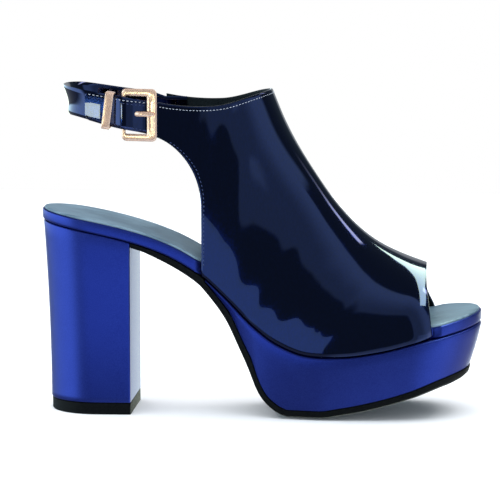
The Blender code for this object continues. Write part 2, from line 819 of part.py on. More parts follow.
def build_strap(materials, parent):
    line, fold = strap_middle_line()
    line = np.array(line)
    rows = tab_rows
    direction = np.gradient(line, axis=0)
    direction /= np.linalg.norm(direction, axis=1)[:, None]
    outward = np.stack([direction[:, 1], -direction[:, 0]], axis=1)
    points, faces = [], []
    count = len(rows)
    for k, (x, y) in enumerate(line):
        reach = min(max(x, strap_back), tab_reach)
        top, foot = strap_top(reach), strap_foot(reach)
        # inside the medial quarter the strap is narrower than the quarter's tab
        run = 0.73 * strap_overlap
        inside = float(np.clip((x - (tab_reach - run)) / run, 0.0, 1.0)) if y > 0 else 0.0
        top -= 0.08 * tab_height * inside
        foot += 0.1 * tab_height * inside
        rear = float(np.clip(1.0 - (x - strap_back) / (0.66 * (strap_round_reach - strap_back)), 0.0, 1.0))
        for face in (1, -1):
            for row in rows:
                z = foot + (top - foot) * row
                push = face * strap_thickness / 2 + rear * strap_lean(row)
                points.append((x + outward[k][0] * push, y + outward[k][1] * push, z))
    step = 2 * count

    def at(k, face, r):
        return k * step + (0 if face > 0 else count) + r

    last = len(line) - 1
    slot = (fold - 1, fold + 10)
    for k in range(last):
        cut = slot[0] <= k < slot[1]
        for r in range(count - 1):
            if not cut or r != hole_row:
                faces.append((at(k, 1, r), at(k + 1, 1, r), at(k + 1, 1, r + 1), at(k, 1, r + 1)))
                faces.append((at(k, -1, r), at(k, -1, r + 1), at(k + 1, -1, r + 1), at(k + 1, -1, r)))
        faces.append((at(k, 1, 0), at(k, -1, 0), at(k + 1, -1, 0), at(k + 1, 1, 0)))
        faces.append((at(k, 1, count - 1), at(k + 1, 1, count - 1), at(k + 1, -1, count - 1), at(k, -1, count - 1)))
        if cut:
            for r in (hole_row, hole_row + 1):
                faces.append((at(k, 1, r), at(k + 1, 1, r), at(k + 1, -1, r), at(k, -1, r)))
    for k in (0, last):
        for r in range(count - 1):
            faces.append((at(k, 1, r), at(k, 1, r + 1), at(k, -1, r + 1), at(k, -1, r)))
    for k in slot:
        low, high = hole_row, hole_row + 1
        faces.append((at(k, 1, low), at(k, 1, high), at(k, -1, high), at(k, -1, low)))
    make_object("sling_strap", points, faces, materials["patent"], parent)


def loop_solid(name, inner, outer, profile, place, material, parent):
    """A closed frame. inner and outer are matching outlines, profile gives (share outwards, depth share)."""
    points, faces = [], []
    size = len(profile)
    count = len(inner)
    for i in range(count):
        for share, depth in profile:
            u = inner[i][0] + (outer[i][0] - inner[i][0]) * share
            v = inner[i][1] + (outer[i][1] - inner[i][1]) * share
            points.append(place(u, v, depth))
    for i in range(count):
        j = (i + 1) % count
        for s in range(size):
            t = (s + 1) % size
            faces.append((i * size + s, j * size + s, j * size + t, i * size + t))
    make_object(name, points, faces, material, parent)


def rounded_box(left, right, low, high, radius, steps=3):
    """Outline of a rounded rectangle, counter-clockwise from the lower right corner."""
    points = []
    corners = ((right - radius, low + radius, -pi / 2), (right - radius, high - radius, 0.0),
               (left + radius, high - radius, pi / 2), (left + radius, low + radius, pi))
    for x, y, start in corners:
        for i in range(steps + 1):
            angle = start + pi / 2 * i / steps
            points.append((x + radius * cos(angle), y + radius * sin(angle)))
    return points


def build_buckle(materials, parent):
    left = rear_bar_reach - rear_bar / 2
    right = left + frame_length
    low, high = buckle_middle - frame_height / 2, buckle_middle + frame_height / 2
    outer = rounded_box(left, right, low, high, frame_corner)
    inner = rounded_box(left + rear_bar, front_bar_start, low + side_bar, high - side_bar, window_corner)
    front_reach = right - front_bar / 2
    front_side = -tab_face(tab_reach) - gap - frame_thickness / 2
    tilt = (front_side + rear_bar_side) / (front_reach - rear_bar_reach)

    def frame_side(x):
        return -rear_bar_side + tilt * (x - rear_bar_reach)

    def frame_place(u, v, depth):
        return u, frame_side(u) + depth * frame_thickness, v

    profile = [(0.0, 0.25), (0.0, -0.25), (0.25, -0.5), (0.75, -0.5), (1.0, -0.25), (1.0, 0.25),
               (0.75, 0.5), (0.25, 0.5)]
    loop_solid("buckle_frame", inner, outer, profile, frame_place, materials["gold"], parent)

    # the prong: a ring on the rear bar with an arm through the tab to the front bar
    ring_in = rear_bar / 2 * sqrt(2.0) + gap / 3
    ring_out = ring_in + 0.7 * prong_thickness
    points, faces = [], []
    middle = 0.5 * (strap_top(rear_bar_reach + prong_setback) + strap_foot(rear_bar_reach + prong_setback))
    low, high = middle - prong_width / 2, middle + prong_width / 2
    rest = frame_thickness / 2 + gap + prong_thickness / 2
    opening = frame_length - rear_bar - front_bar
    arm = [(front_bar_start - share * opening, out) for share, out in prong_line]
    arm += [(front_reach, 1.0), (front_reach + 0.31 * front_bar, 1.0)]
    arm = [(x, frame_side(x) - out * rest) for x, out in arm]
    turns = 12
    arc = [radians(-62.0) + 2 * pi * i / turns for i in range(turns)]
    for z in (low, high):
        for angle in arc:
            for radius in (ring_in, ring_out):
                points.append((rear_bar_reach + radius * cos(angle), -rear_bar_side + radius * sin(angle), z))
    half = 2 * turns
    for i in range(turns):
        j = (i + 1) % turns
        a, b, c, d = 2 * i, 2 * j, 2 * i + 1, 2 * j + 1
        faces.append((a, b, b + half, a + half))
        faces.append((a, c, d, b))
        faces.append((a + half, b + half, d + half, c + half))
        if i != 0:
            faces.append((c, c + half, d + half, d))
    # the arm leaves the ring through its first outer facet
    ends = (1, 3)
    rows = [[ends[0], ends[1], ends[1] + half, ends[0] + half]]
    for k, (x, y) in enumerate(arm):
        following = arm[min(k + 1, len(arm) - 1)]
        before = arm[max(k - 1, 0)]
        dx, dy = following[0] - before[0], following[1] - before[1]
        size = sqrt(dx * dx + dy * dy)
        nx, ny = -dy / size * prong_thickness / 2, dx / size * prong_thickness / 2
        row = []
        for offset, z in ((-1, low), (1, low), (1, high), (-1, high)):
            row.append(len(points))
            points.append((x + offset * nx, y + offset * ny, z))
        rows.append(row)
    for a, b in zip(rows, rows[1:]):
        for i in range(4):
            j = (i + 1) % 4
            faces.append((a[i], a[j], b[j], b[i]))
    faces.append(tuple(rows[-1]))
    make_object("buckle_prong", points, faces, materials["gold"], parent)


def build_keeper(materials, parent):
    inside = -(strap_side - strap_thickness / 2 - gap)
    outside = -(tab_face(keeper_reach + keeper_width) + gap)
    top = strap_top(keeper_reach) + 2 * gap
    foot = strap_foot(keeper_reach) - 2 * gap
    middle = 0.5 * (top + foot)
    inner = rounded_box(outside, inside, foot, top, keeper_corner, 2)
    t = keeper_thickness
    outer = rounded_box(outside - t, inside + t, foot - t, top + t, keeper_corner + t, 2)

    def keeper_place(u, v, depth):
        rise = v - middle
        run = depth * keeper_width
        x = keeper_reach + run * cos(keeper_lean) + rise * sin(keeper_lean)
        return x, u, middle + rise * cos(keeper_lean) - run * sin(keeper_lean)

    profile = [(0.0, 0.5), (0.0, -0.5), (0.7, -0.5), (1.0, -0.36), (1.0, 0.36), (0.7, 0.5)]
    loop_solid("strap_keeper", inner, outer, profile, keeper_place, materials["gold"], parent)


def centre(frame):
    """Puts the origin at the middle of the bounding box, on the floor."""
    corners = [v.co for piece in frame.children for v in piece.data.vertices]
    for axis in (0, 1):
        values = [c[axis] for c in corners]
        frame.location[axis] = -0.5 * (min(values) + max(values))


def main():
    for old in list(bpy.data.objects):
        bpy.data.objects.remove(old, do_unlink=True)
    frame = bpy.data.objects.new("shoe_frame", None)
    bpy.context.scene.collection.objects.link(frame)
    materials = {
        "patent": make_material("patent_navy", (0.012, 0.020, 0.085), 0.08, 0.0, 1.0),
        "blue": make_material("metallic_blue", (0.035, 0.065, 0.42), 0.42, 0.55),
        "sock": make_material("sock_grey", (0.20, 0.31, 0.33), 0.5),
        "rubber": make_material("black_rubber", (0.012, 0.013, 0.012), 0.6),
        "gold": make_material("rose_gold", (0.88, 0.50, 0.30), 0.18, 1.0),
    }
    build_insole(materials, frame)
    build_platform(materials, frame)
    build_outsole(materials, frame)
    build_heel(materials, frame)
    build_upper(materials, frame)
    build_strap(materials, frame)
    build_buckle(materials, frame)
    build_keeper(materials, frame)
    centre(frame)


main()
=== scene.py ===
import bmesh
import bpy
import numpy as np
from math import cos, degrees, pi, radians, sin, sqrt
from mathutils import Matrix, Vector


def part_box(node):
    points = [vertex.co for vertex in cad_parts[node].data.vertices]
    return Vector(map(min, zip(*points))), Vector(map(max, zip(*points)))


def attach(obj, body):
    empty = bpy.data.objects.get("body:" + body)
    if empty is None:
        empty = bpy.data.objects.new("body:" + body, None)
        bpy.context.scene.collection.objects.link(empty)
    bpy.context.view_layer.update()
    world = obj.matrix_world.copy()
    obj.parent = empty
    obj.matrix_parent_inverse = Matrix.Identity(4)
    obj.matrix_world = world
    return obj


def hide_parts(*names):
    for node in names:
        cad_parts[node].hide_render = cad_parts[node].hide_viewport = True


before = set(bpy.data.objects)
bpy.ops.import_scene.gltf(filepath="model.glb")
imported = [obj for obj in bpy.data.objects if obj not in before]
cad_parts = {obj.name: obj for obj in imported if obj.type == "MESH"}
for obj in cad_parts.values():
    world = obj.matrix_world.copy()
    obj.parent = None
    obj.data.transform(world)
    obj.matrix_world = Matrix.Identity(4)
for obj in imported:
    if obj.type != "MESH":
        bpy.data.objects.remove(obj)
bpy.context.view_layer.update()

# The last and the sole, in millimetres from the back of the last, Y to the inner side, Z from the floor
last = {
    "length": 225.0,
    "heelHeight": 98.0,
    "platformHeight": 32.9,
    "toeSpring": 14.7,
    "heelRound": 27.0,
    "toeRound": 36.0,
    "flatStart": 0.569,
    "heelLength": 47.6,
    "topPieceInset": 1.3,
    "boardThickness": 5.6,
    "randInset": 0.2,
    "gap": 0.3,
    "roundSteps": 26,
}
# Share of the length, share of the heel's rise, share of the toe spring
seatLine = [
    (0.000, 1.000, 0.000), (0.089, 0.946, 0.000), (0.187, 0.873, 0.000), (0.280, 0.771, 0.000),
    (0.367, 0.610, 0.000), (0.431, 0.421, 0.000), (0.489, 0.226, 0.000), (0.547, 0.086, 0.000),
    (0.609, 0.011, 0.000), (0.644, 0.000, 0.000), (0.689, 0.000, 0.014), (0.778, 0.000, 0.204),
    (0.867, 0.000, 0.558), (1.000, 0.000, 1.000),
]
# Share of the length, share of the seat line's height
treadLine = [
    (0.180, 0.971), (0.234, 0.968), (0.280, 0.955), (0.324, 0.944), (0.365, 0.931), (0.388, 0.903),
    (0.425, 0.832), (0.461, 0.647), (0.480, 0.509), (0.498, 0.325), (0.516, 0.192), (0.535, 0.100),
    (0.553, 0.032), (0.569, 0.000), (0.640, 0.000), (0.689, 0.051), (0.755, 0.137), (0.844, 0.266),
    (0.916, 0.380), (0.973, 0.432), (1.000, 0.450),
]
# Share of the length, lateral and medial half width in millimetres
outlineTable = [
    (0.000, 25.5, 25.5), (0.133, 26.0, 25.0), (0.267, 25.4, 22.6), (0.373, 27.0, 21.5), (0.467, 31.5, 25.0),
    (0.556, 36.5, 31.0), (0.644, 40.0, 36.5), (0.733, 41.0, 40.5), (0.822, 40.5, 43.0), (1.000, 38.6, 43.0),
]


def curveOf(table, column=1, blur=0.0):
    # a curve through a table's column, without overshoot, softened over a length where its bends would show
    xs = np.array([row[0] for row in table], float)
    ys = np.array([row[column] for row in table], float)
    h, d = np.diff(xs), np.diff(ys) / np.diff(xs)
    slope = np.zeros(len(xs))
    slope[0], slope[-1] = d[0], d[-1]
    for i in range(1, len(xs) - 1):
        if d[i - 1] * d[i] > 0:
            a, b = 2 * h[i] + h[i - 1], h[i] + 2 * h[i - 1]
            slope[i] = (a + b) / (a / d[i - 1] + b / d[i])

    def exact(x):
        x = np.clip(np.asarray(x, float), xs[0], xs[-1])
        i = np.clip(np.searchsorted(xs, x, side="right") - 1, 0, len(xs) - 2)
        t = (x - xs[i]) / h[i]
        low = ys[i] * (1 + 2 * t) * (1 - t) ** 2 + slope[i] * h[i] * t * (1 - t) ** 2
        return low + ys[i + 1] * t * t * (3 - 2 * t) + slope[i + 1] * h[i] * t * t * (t - 1)

    if not blur:
        return exact
    grid = np.linspace(xs[0], xs[-1], 1501)
    k = max(1, int(round(blur / (grid[1] - grid[0]))))
    kernel = np.hanning(2 * k + 3)[1:-1]
    kernel /= kernel.sum()
    values = exact(grid)
    wide = np.concatenate([2 * values[0] - values[k:0:-1], values, 2 * values[-1] - values[-2:-k - 2:-1]])
    soft = np.convolve(wide, kernel, "valid")
    return lambda x: np.interp(x, grid, soft)


def ease(t):
    t = np.clip(t, 0.0, 1.0)
    return t * t * (3 - 2 * t)


riseCurve, springCurve = curveOf(seatLine, 1, 0.02), curveOf(seatLine, 2, 0.02)
treadCurve = curveOf(treadLine, 1, 0.006)
widthCurves = {-1: curveOf(outlineTable, 1, 0.05), 1: curveOf(outlineTable, 2, 0.05)}


def seat(x):
    u = np.asarray(x, float) / last["length"]
    rise = riseCurve(u) * (last["heelHeight"] - last["platformHeight"])
    return last["platformHeight"] + rise + springCurve(u) * last["toeSpring"]


def tread(x):
    return treadCurve(np.asarray(x, float) / last["length"]) * seat(x)


def flat(value):
    return lambda x: np.full_like(np.asarray(x, float), value)


def acrossSlope(height, x, thickness):
    # the upright measure of a sheet's thickness where the sheet slopes
    slope = height(x + 0.5) - height(x - 0.5)
    return thickness * np.sqrt(1 + slope ** 2)


def boardTop(x):
    return seat(x) + acrossSlope(seat, x, last["boardThickness"])


def halfWidth(x, side):
    x = np.asarray(x, float)
    half = widthCurves[side](x / last["length"])
    back = np.clip((last["heelRound"] - x) / last["heelRound"], 0, 1)
    front = np.clip((x - last["length"] + last["toeRound"]) / last["toeRound"], 0, 1)
    return half * np.sqrt(1 - back ** 2) * np.sqrt(1 - front ** 2)


def outline(x, side, inset=0.0):
    # plan outline moved in by inset, as (x, y)
    x = np.clip(np.asarray(x, float), 0, last["length"])
    a, b = np.maximum(x - 0.05, 0), np.minimum(x + 0.05, last["length"])
    dx, dy = b - a, halfWidth(b, side) - halfWidth(a, side)
    dx = np.where((x <= 0) | (x >= last["length"]), 0, dx)
    dy = np.where(x <= 0, 1.0, np.where(x >= last["length"], -1.0, dy))
    size = np.sqrt(dx * dx + dy * dy)
    return x + inset * dy / size, side * (halfWidth(x, side) - inset * dx / size)


roundTurns = pi / 2 * np.arange(last["roundSteps"]) / last["roundSteps"]


def cutsOf(start, end, step=2.2):
    # stations along the sole, close together round the heel and the toe
    heelEnd, toeStart = last["heelRound"], last["length"] - last["toeRound"]
    first, final = max(start, heelEnd), min(end, toeStart)
    cuts = []
    if start < heelEnd:
        cuts += list(heelEnd - (heelEnd - start) * np.cos(roundTurns))
    cuts += list(np.linspace(first, final, max(2, int((final - first) / step)) + 1))[:-1]
    if end > toeStart:
        cuts += list(final + (end - final) * np.sin(roundTurns))
    return np.array(cuts + [end])


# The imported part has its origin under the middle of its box: its top piece and board tell how far that is
lo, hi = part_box("top_piece")
heelCuts = np.linspace(0, last["heelLength"], 200)
lateralHalf, medialHalf = (np.max(halfWidth(heelCuts, side)) - last["topPieceInset"] for side in (-1, 1))
shift = np.array([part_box("insole_board")[0].x * 1000 - last["randInset"],
                  (lo.y + hi.y) * 500 - 0.5 * (medialHalf - lateralHalf), 0.0])
print("frame shift in mm", np.round(shift, 2))


def place(points):
    return (np.asarray(points, float).reshape(-1, 3) + shift) * 0.001


def addPiece(name, points, faces, finishes, nodes, sharp, faceSlots=None):
    # one mesh piece from points in millimetres, riding on the shoe
    mesh = bpy.data.meshes.new(name)
    mesh.from_pydata(place(points).tolist(), [], faces)
    for finish in finishes:
        mesh.materials.append(finish)
    if faceSlots is not None:
        mesh.polygons.foreach_set("material_index", np.asarray(faceSlots, dtype=np.int32))
    bm = bmesh.new()
    bm.from_mesh(mesh)
    bmesh.ops.remove_doubles(bm, verts=bm.verts, dist=0.000004)
    bmesh.ops.dissolve_degenerate(bm, edges=bm.edges, dist=0.000002)
    bmesh.ops.recalc_face_normals(bm, faces=bm.faces)
    bm.to_mesh(mesh)
    bm.free()
    mesh.shade_smooth()
    mesh.set_sharp_from_angle(angle=radians(sharp))
    piece = bpy.data.objects.new(name, mesh)
    bpy.context.scene.collection.objects.link(piece)
    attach(piece, "root")
    if nodes:
        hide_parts(*nodes)
    print("piece", name, len(mesh.polygons), "faces")


# A node's output: sums of numbers add Math nodes, colours and vectors have their own calls
class Value:
    def __init__(self, finish, socket):
        self.finish = finish
        self.socket = socket

    def __add__(self, other):
        return self.finish.maths("ADD", self, other)

    def __radd__(self, other):
        return self.finish.maths("ADD", other, self)

    def __sub__(self, other):
        return self.finish.maths("SUBTRACT", self, other)

    def __rsub__(self, other):
        return self.finish.maths("SUBTRACT", other, self)

    def __mul__(self, other):
        return self.finish.maths("MULTIPLY", self, other)

    def __rmul__(self, other):
        return self.finish.maths("MULTIPLY", other, self)

    def __truediv__(self, other):
        return self.finish.maths("DIVIDE", self, other)


class Finish:
    # the node tree of a material or of the world, and the calls that add nodes to it
    def __init__(self, name, tree=None, **sockets):
        if tree is None:
            self.material = bpy.data.materials.new(name)
            self.material.use_nodes = True
            tree = self.material.node_tree
            self.shader = tree.nodes["Principled BSDF"]
        self.tree = tree
        for key, value in sockets.items():
            self.set(key, value)

    def fill(self, socket, value):
        if isinstance(value, Value):
            self.tree.links.new(value.socket, socket)
        elif socket.type == "RGBA" and len(value) == 3:
            socket.default_value = (*value, 1.0)
        else:
            socket.default_value = value

    def set(self, key, value):
        # keys read as the shader's own sockets, such as coatWeight for Coat Weight
        name = "".join(" " + c if c.isupper() else c for c in key).title().replace("Ior", "IOR")
        self.fill(self.shader.inputs[name], value)

    def node(self, kind, settings=None, sockets=None, out=0):
        made = self.tree.nodes.new(kind)
        for key, value in (settings or {}).items():
            setattr(made, key, value)
        for key, value in (sockets or {}).items():
            self.fill(made.inputs[key], value)
        return Value(self, made.outputs[out])

    def maths(self, operation, *values):
        return self.node("ShaderNodeMath", {"operation": operation}, dict(enumerate(values)))

    def mix(self, factor, first, second):
        return self.node("ShaderNodeMix", {"data_type": "RGBA"}, {0: factor, 6: first, 7: second}, 2)

    def stretch(self, vector, scale):
        return self.node("ShaderNodeVectorMath", {"operation": "MULTIPLY"}, {0: vector, 1: scale})

    def where(self):
        return self.node("ShaderNodeTexCoord", out=3)

    def noise(self, vector, scale, detail=2.0, roughness=0.5, distortion=0.0):
        return self.node("ShaderNodeTexNoise", None, {"Vector": vector, "Scale": scale, "Detail": detail,
                                                      "Roughness": roughness, "Distortion": distortion})

    def between(self, value, low, high, toLow=0.0, toHigh=1.0):
        return self.node("ShaderNodeMapRange", {"interpolation_type": "SMOOTHSTEP"},
                         {0: value, 1: low, 2: high, 3: toLow, 4: toHigh})

    def bump(self, height, distance, under=None):
        sockets = {"Height": height, "Distance": distance, "Strength": 1.0}
        if under is not None:
            sockets["Normal"] = under
        return self.node("ShaderNodeBump", None, sockets)


patent = {
    "deep": (0.004, 0.012, 0.078),
    "base": (0.006, 0.016, 0.100),
    "roughness": (0.08, 0.14),
    "waveStretch": (75.0, 75.0, 42.0),
    "waveHeight": 0.00016,
    "peelScale": 520.0,
    "peelHeight": 0.000012,
    "grainStretch": (1500.0, 1500.0, 420.0),
}


def makePatent():
    # clear gloss over a pearly navy base, with the slight waves of patent leather
    finish = Finish("patentNavy", metallic=1.0, coatWeight=1.0, coatRoughness=0.015, coatIor=1.5)
    where = finish.where()
    waves = finish.noise(finish.stretch(where, patent["waveStretch"]), 1.0, 1.5, 0.45, 0.4)
    peel = finish.noise(where, patent["peelScale"])
    grain = finish.noise(finish.stretch(where, patent["grainStretch"]), 1.0, 3.0, 0.6)
    finish.set("baseColor", finish.mix(finish.between(grain, 0.35, 0.68), patent["deep"], patent["base"]))
    finish.set("roughness", finish.between(grain, 0.3, 0.7, *patent["roughness"]))
    finish.set("normal", finish.bump(peel, patent["peelHeight"], finish.bump(waves, patent["waveHeight"])))
    return finish.material


wrap = {
    "dark": (0.026, 0.044, 0.298),
    "light": (0.038, 0.064, 0.392),
    "roughness": (0.33, 0.45),
    "pearlScale": 2100.0,
    "pearlShare": 0.85,
    "cloudScale": 120.0,
    "leatherScale": 700.0,
    "height": 0.00004,
}


def makeWrap():
    # satin metallic leather round the heel, the platform and the insole's edge
    finish = Finish("metallicBlue", metallic=0.93, coatWeight=0.10, coatRoughness=0.35)
    where = finish.where()
    pearl = finish.noise(where, wrap["pearlScale"], 2.0, 0.6)
    cloud = finish.noise(where, wrap["cloudScale"], 3.0, 0.55)
    leather = finish.noise(where, wrap["leatherScale"], 3.0)
    tone = finish.between(pearl * wrap["pearlShare"] + cloud * (1 - wrap["pearlShare"]), 0.30, 0.70)
    finish.set("baseColor", finish.mix(tone, wrap["dark"], wrap["light"]))
    finish.set("roughness", finish.between(pearl, 0.3, 0.7, *wrap["roughness"]))
    finish.set("normal", finish.bump(pearl * 0.5 + leather * 0.5, wrap["height"]))
    return finish.material


sock = {
    "dark": (0.060, 0.107, 0.150),
    "light": (0.124, 0.193, 0.250),
    "roughness": (0.38, 0.52),
    "sheenStreakStretch": (9.0, 330.0, 330.0),
    "sheenStreakShare": 0.75,
    "cloudScale": 45.0,
    "grainScale": 1600.0,
    "height": 0.00004,
}


def makeSock():
    # soft grey lining; the lengthwise streaks in its colour are partly the leather's own streaks and partly
    # a painted sheen
    finish = Finish("sockGrey", coatWeight=0.05, coatRoughness=0.3)
    where = finish.where()
    streaksAndSheen = finish.noise(finish.stretch(where, sock["sheenStreakStretch"]), 1.0, 3.0, 0.6)
    cloud = finish.noise(where, sock["cloudScale"])
    grain = finish.noise(where, sock["grainScale"])
    # The lengthwise lighter and darker streaks mixed into the colour are partly a painted sheen.
    tone = finish.between(streaksAndSheen * sock["sheenStreakShare"] + cloud * (1 - sock["sheenStreakShare"]), 0.38, 0.62)
    finish.set("baseColor", finish.mix(tone, sock["dark"], sock["light"]))
    finish.set("roughness", finish.between(streaksAndSheen, 0.3, 0.7, *sock["roughness"]))
    finish.set("normal", finish.bump(grain * 0.6 + streaksAndSheen * 0.4, sock["height"]))
    return finish.material


lining = {
    "grain": (1300.0, 3.0, 0.5),
    "dark": (0.002, 0.0035, 0.0045),
    "light": (0.004, 0.007, 0.009),
    "height": 0.00003,
}
rubber = {
    "grain": (900.0, 3.0, 0.6),
    "dark": (0.0012, 0.0015, 0.0018),
    "light": (0.004, 0.0045, 0.005),
    "roughness": (0.45, 0.62),
    "height": 0.00004,
}


def makeGrained(name, values, **sockets):
    # a matt finish whose grain moves its colour, height and, where it is given, roughness
    finish = Finish(name, **sockets)
    grain = finish.noise(finish.where(), *values["grain"])
    finish.set("baseColor", finish.mix(finish.between(grain, 0.3, 0.7), values["dark"], values["light"]))
    if "roughness" in values:
        finish.set("roughness", finish.between(grain, 0.3, 0.7, *values["roughness"]))
    finish.set("normal", finish.bump(grain, values["height"]))
    return finish.material


gold = {
    "dark": (0.96, 0.60, 0.43),
    "light": (1.0, 0.70, 0.53),
    "roughness": (0.16, 0.24),
    "cloudScale": 260.0,
    "waveScale": 300.0,
    "height": 0.000004,
}


def makeGold():
    finish = Finish("roseGold", metallic=0.72)
    where = finish.where()
    cloud = finish.noise(where, gold["cloudScale"])
    finish.set("baseColor", finish.mix(cloud, gold["dark"], gold["light"]))
    finish.set("roughness", finish.between(cloud, 0.3, 0.7, *gold["roughness"]))
    finish.set("normal", finish.bump(finish.noise(where, gold["waveScale"]), gold["height"]))
    return finish.material


# The pale thread colour is a painted highlight: it stands for glints on navy thread.
thread = {
    "pale": (0.42, 0.47, 0.55),
    "navy": (0.02, 0.035, 0.12),
    "roughness": (0.30, 0.45),
    "twistScale": 4200.0,
    "shade": 0.7,
}


def makeThread(name, colour):
    finish = Finish(name, coatWeight=0.3, coatRoughness=0.2)
    twist = finish.noise(finish.where(), thread["twistScale"], 1.0)
    finish.set("baseColor", finish.mix(twist, tuple(thread["shade"] * c for c in colour), colour))
    finish.set("roughness", finish.between(twist, 0.3, 0.7, *thread["roughness"]))
    return finish.material


patentNavy, metallicBlue, sockGrey = makePatent(), makeWrap(), makeSock()
darkLining = makeGrained("darkLining", lining, roughness=0.55, specularIorLevel=0.2)
blackRubber = makeGrained("blackRubber", rubber, specularIorLevel=0.10)
roseGold = makeGold()
paleGlintThread, navyThread = (makeThread(shade + "Thread", thread[shade]) for shade in ("pale", "navy"))
print("finishes made")


def loft(name, cuts, levels, finish, node, sharp=40.0):
    # rings of the plan outline from the top down, each level an (inset, height) pair of functions
    count, points, faces = len(cuts), [], []
    for inset, height in levels:
        for side in (-1, 1):
            x, y = outline(cuts, side, inset(cuts))
            points.append(np.stack([x, y, height(x)], 1))
    final = 2 * count * (len(levels) - 1)
    for i in range(count - 1):
        faces.append((i, i + 1, count + i + 1, count + i))
        faces.append((final + i, final + count + i, final + count + i + 1, final + i + 1))
    for k in range(len(levels) - 1):
        a, b = 2 * count * k, 2 * count * (k + 1)
        for j in (0, count):
            faces += [(a + i, b + i, b + i + 1, a + i + 1) for i in range(j, j + count - 1)]
        faces += [(a + i, a + count + i, b + count + i, b + i) for i in (0, count - 1)]
    addPiece(name, np.concatenate(points), faces, [finish], [node], sharp)


def edgeLevels(inset, height, radius, steps, foot=False, across=1.0):
    # the levels of a rounded edge, down from the top face or down to the foot
    levels = []
    for i in range(steps):
        a = pi / 2 * i / (steps - 1)
        into, off = (1 - cos(a), sin(a) - 1) if foot else (across * (1 - sin(a)), 1 - cos(a))
        levels.append((lambda x, share=into: inset(x) + share * radius(x),
                       lambda x, share=off: height(x) - share * radius(x)))
    return levels


board = {
    "topRound": 0.9,
    "footRound": 1.3,
    "sockEdge": 1.0,
    "sockThickness": 0.8,
    "sockRound": 0.7,
    "hidden": 3.1,
    "ramp": 3.0,
    "quarter": 84.0,
    "peepFoot": 202.3,
}
# The rand is flush behind the first and in front of the last of these, and steps in between them
rampMarks = [board["quarter"] - last["gap"] - board["ramp"], board["quarter"] - last["gap"],
             board["peepFoot"] + last["gap"], board["peepFoot"] + last["gap"] + board["ramp"]]


def boardInset(x):
    back = (np.asarray(x, float) - rampMarks[0]) / board["ramp"]
    front = (rampMarks[3] - x) / board["ramp"]
    return last["randInset"] + np.clip(np.minimum(back, front), 0, 1) * board["hidden"]


def sockInset(x):
    return boardInset(x) + board["sockEdge"]


def sockTop(x):
    return boardTop(x) + last["gap"] + board["sockThickness"]


def buildInsole():
    cuts = np.array(sorted(list(cutsOf(0.0, last["length"])) + rampMarks))
    levels = edgeLevels(boardInset, boardTop, flat(board["topRound"]), 5)
    levels += edgeLevels(boardInset, seat, flat(board["footRound"]), 5, foot=True)
    loft("insoleRand", cuts, levels, metallicBlue, "insole_board")
    levels = [(lambda x: sockInset(x) + 2.0, sockTop)]
    levels += edgeLevels(sockInset, sockTop, flat(board["sockRound"]), 4)
    levels.append((sockInset, lambda x: boardTop(x) + 0.05))
    loft("insoleSock", cuts, levels, sockGrey, "insole_sock", 60.0)


buildInsole()

base = {
    "outsoleStart": 47.9,
    "platformStart": 86.0,
    "liftStart": 0.50,
    "liftShare": 0.06,
    "outsole": 3.0,
    "taper": 6.0,
    "waistInset": 1.3,
    "edge": 0.2,
    "bevel": 9.0,
    "lift": 1.6,
    "topRound": 1.5,
    "bulge": 0.5,
    "bulgeHeight": 24.0,
    "soleFoot": 0.35,
    "soleRim": 0.4,
    "step": 1.6,
}


def footInset(x):
    start, end = base["platformStart"], last["flatStart"] * last["length"]
    share = (np.asarray(x, float) - start) / (end - start)
    return base["waistInset"] + np.clip(share, 0, 1) * (base["taper"] - base["waistInset"])


def lifted(x, share=1.0):
    # the tread with a share of the bevel's rise, which starts in front of the waist
    start = np.clip((np.asarray(x, float) / last["length"] - base["liftStart"]) / base["liftShare"], 0, 1)
    return tread(x) + share * base["lift"] * start


def outsoleTop(x):
    x = np.asarray(x, float)
    front = lifted(x) + acrossSlope(tread, x, base["outsole"])
    return np.where(x < base["platformStart"] - last["gap"], seat(x) - last["gap"], front)


def platformFoot(x):
    return outsoleTop(x) + acrossSlope(tread, np.asarray(x, float), last["gap"])


def buildPlatform():
    def top(x):
        return seat(x) - last["gap"]

    def tall(x):
        return np.maximum(top(x) - platformFoot(x), 0.05)

    def rounding(x):
        return np.minimum(base["topRound"], 0.3 * tall(x))

    def wall(x, share):
        full = np.clip(tall(x) / base["bulgeHeight"], 0, 1) * base["bulge"] * sin(pi * share)
        return base["edge"] + (1 - share) * (footInset(x) - base["edge"]) - full

    levels = edgeLevels(flat(base["edge"]), top, rounding, 6, across=0.9)
    for share in (0.8, 0.6, 0.4, 0.2, 0.06, 0.0):
        levels.append((lambda x, s=share: wall(x, s),
                       lambda x, s=share: platformFoot(x) + s * (tall(x) - rounding(x))))
    cuts = cutsOf(base["platformStart"], last["length"], base["step"])
    loft("platformWrap", cuts, levels, metallicBlue, "platform", 35.0)


def buildOutsole():
    step = base["platformStart"] - last["gap"]
    cuts = list(cutsOf(base["outsoleStart"], last["length"], base["step"])) + [step - 0.05, step + 0.05]

    def insetBy(extra):
        return lambda x: footInset(x) + extra

    def treadInset(share):
        def inset(x):
            toe = np.clip((last["length"] - np.asarray(x, float)) / last["toeRound"], 0.25, 1.0)
            start = (lifted(x) - tread(x)) / base["lift"]
            return footInset(x) + base["soleFoot"] + base["soleRim"] + base["bevel"] * start * toe * share
        return inset

    levels = [
        (insetBy(0.1), outsoleTop),
        (insetBy(-0.35), lambda x: outsoleTop(x) - 0.3),
        (insetBy(-0.2), lambda x: 0.5 * (outsoleTop(x) + lifted(x))),
        (insetBy(base["soleFoot"]), lifted),
        (treadInset(0.25), lambda x: lifted(x, 0.55)),
        (treadInset(0.6), lambda x: lifted(x, 0.18)),
        (treadInset(1.0), tread),
    ]
    loft("outsoleSheet", np.array(sorted(cuts)), levels, blackRubber, "outsole", 30.0)


buildPlatform()
buildOutsole()

heel = {
    "lean": 3.6,
    "inset": 0.8,
    "topPiece": 6.0,
    "corner": 1.1,
    "topRound": 0.9,
}


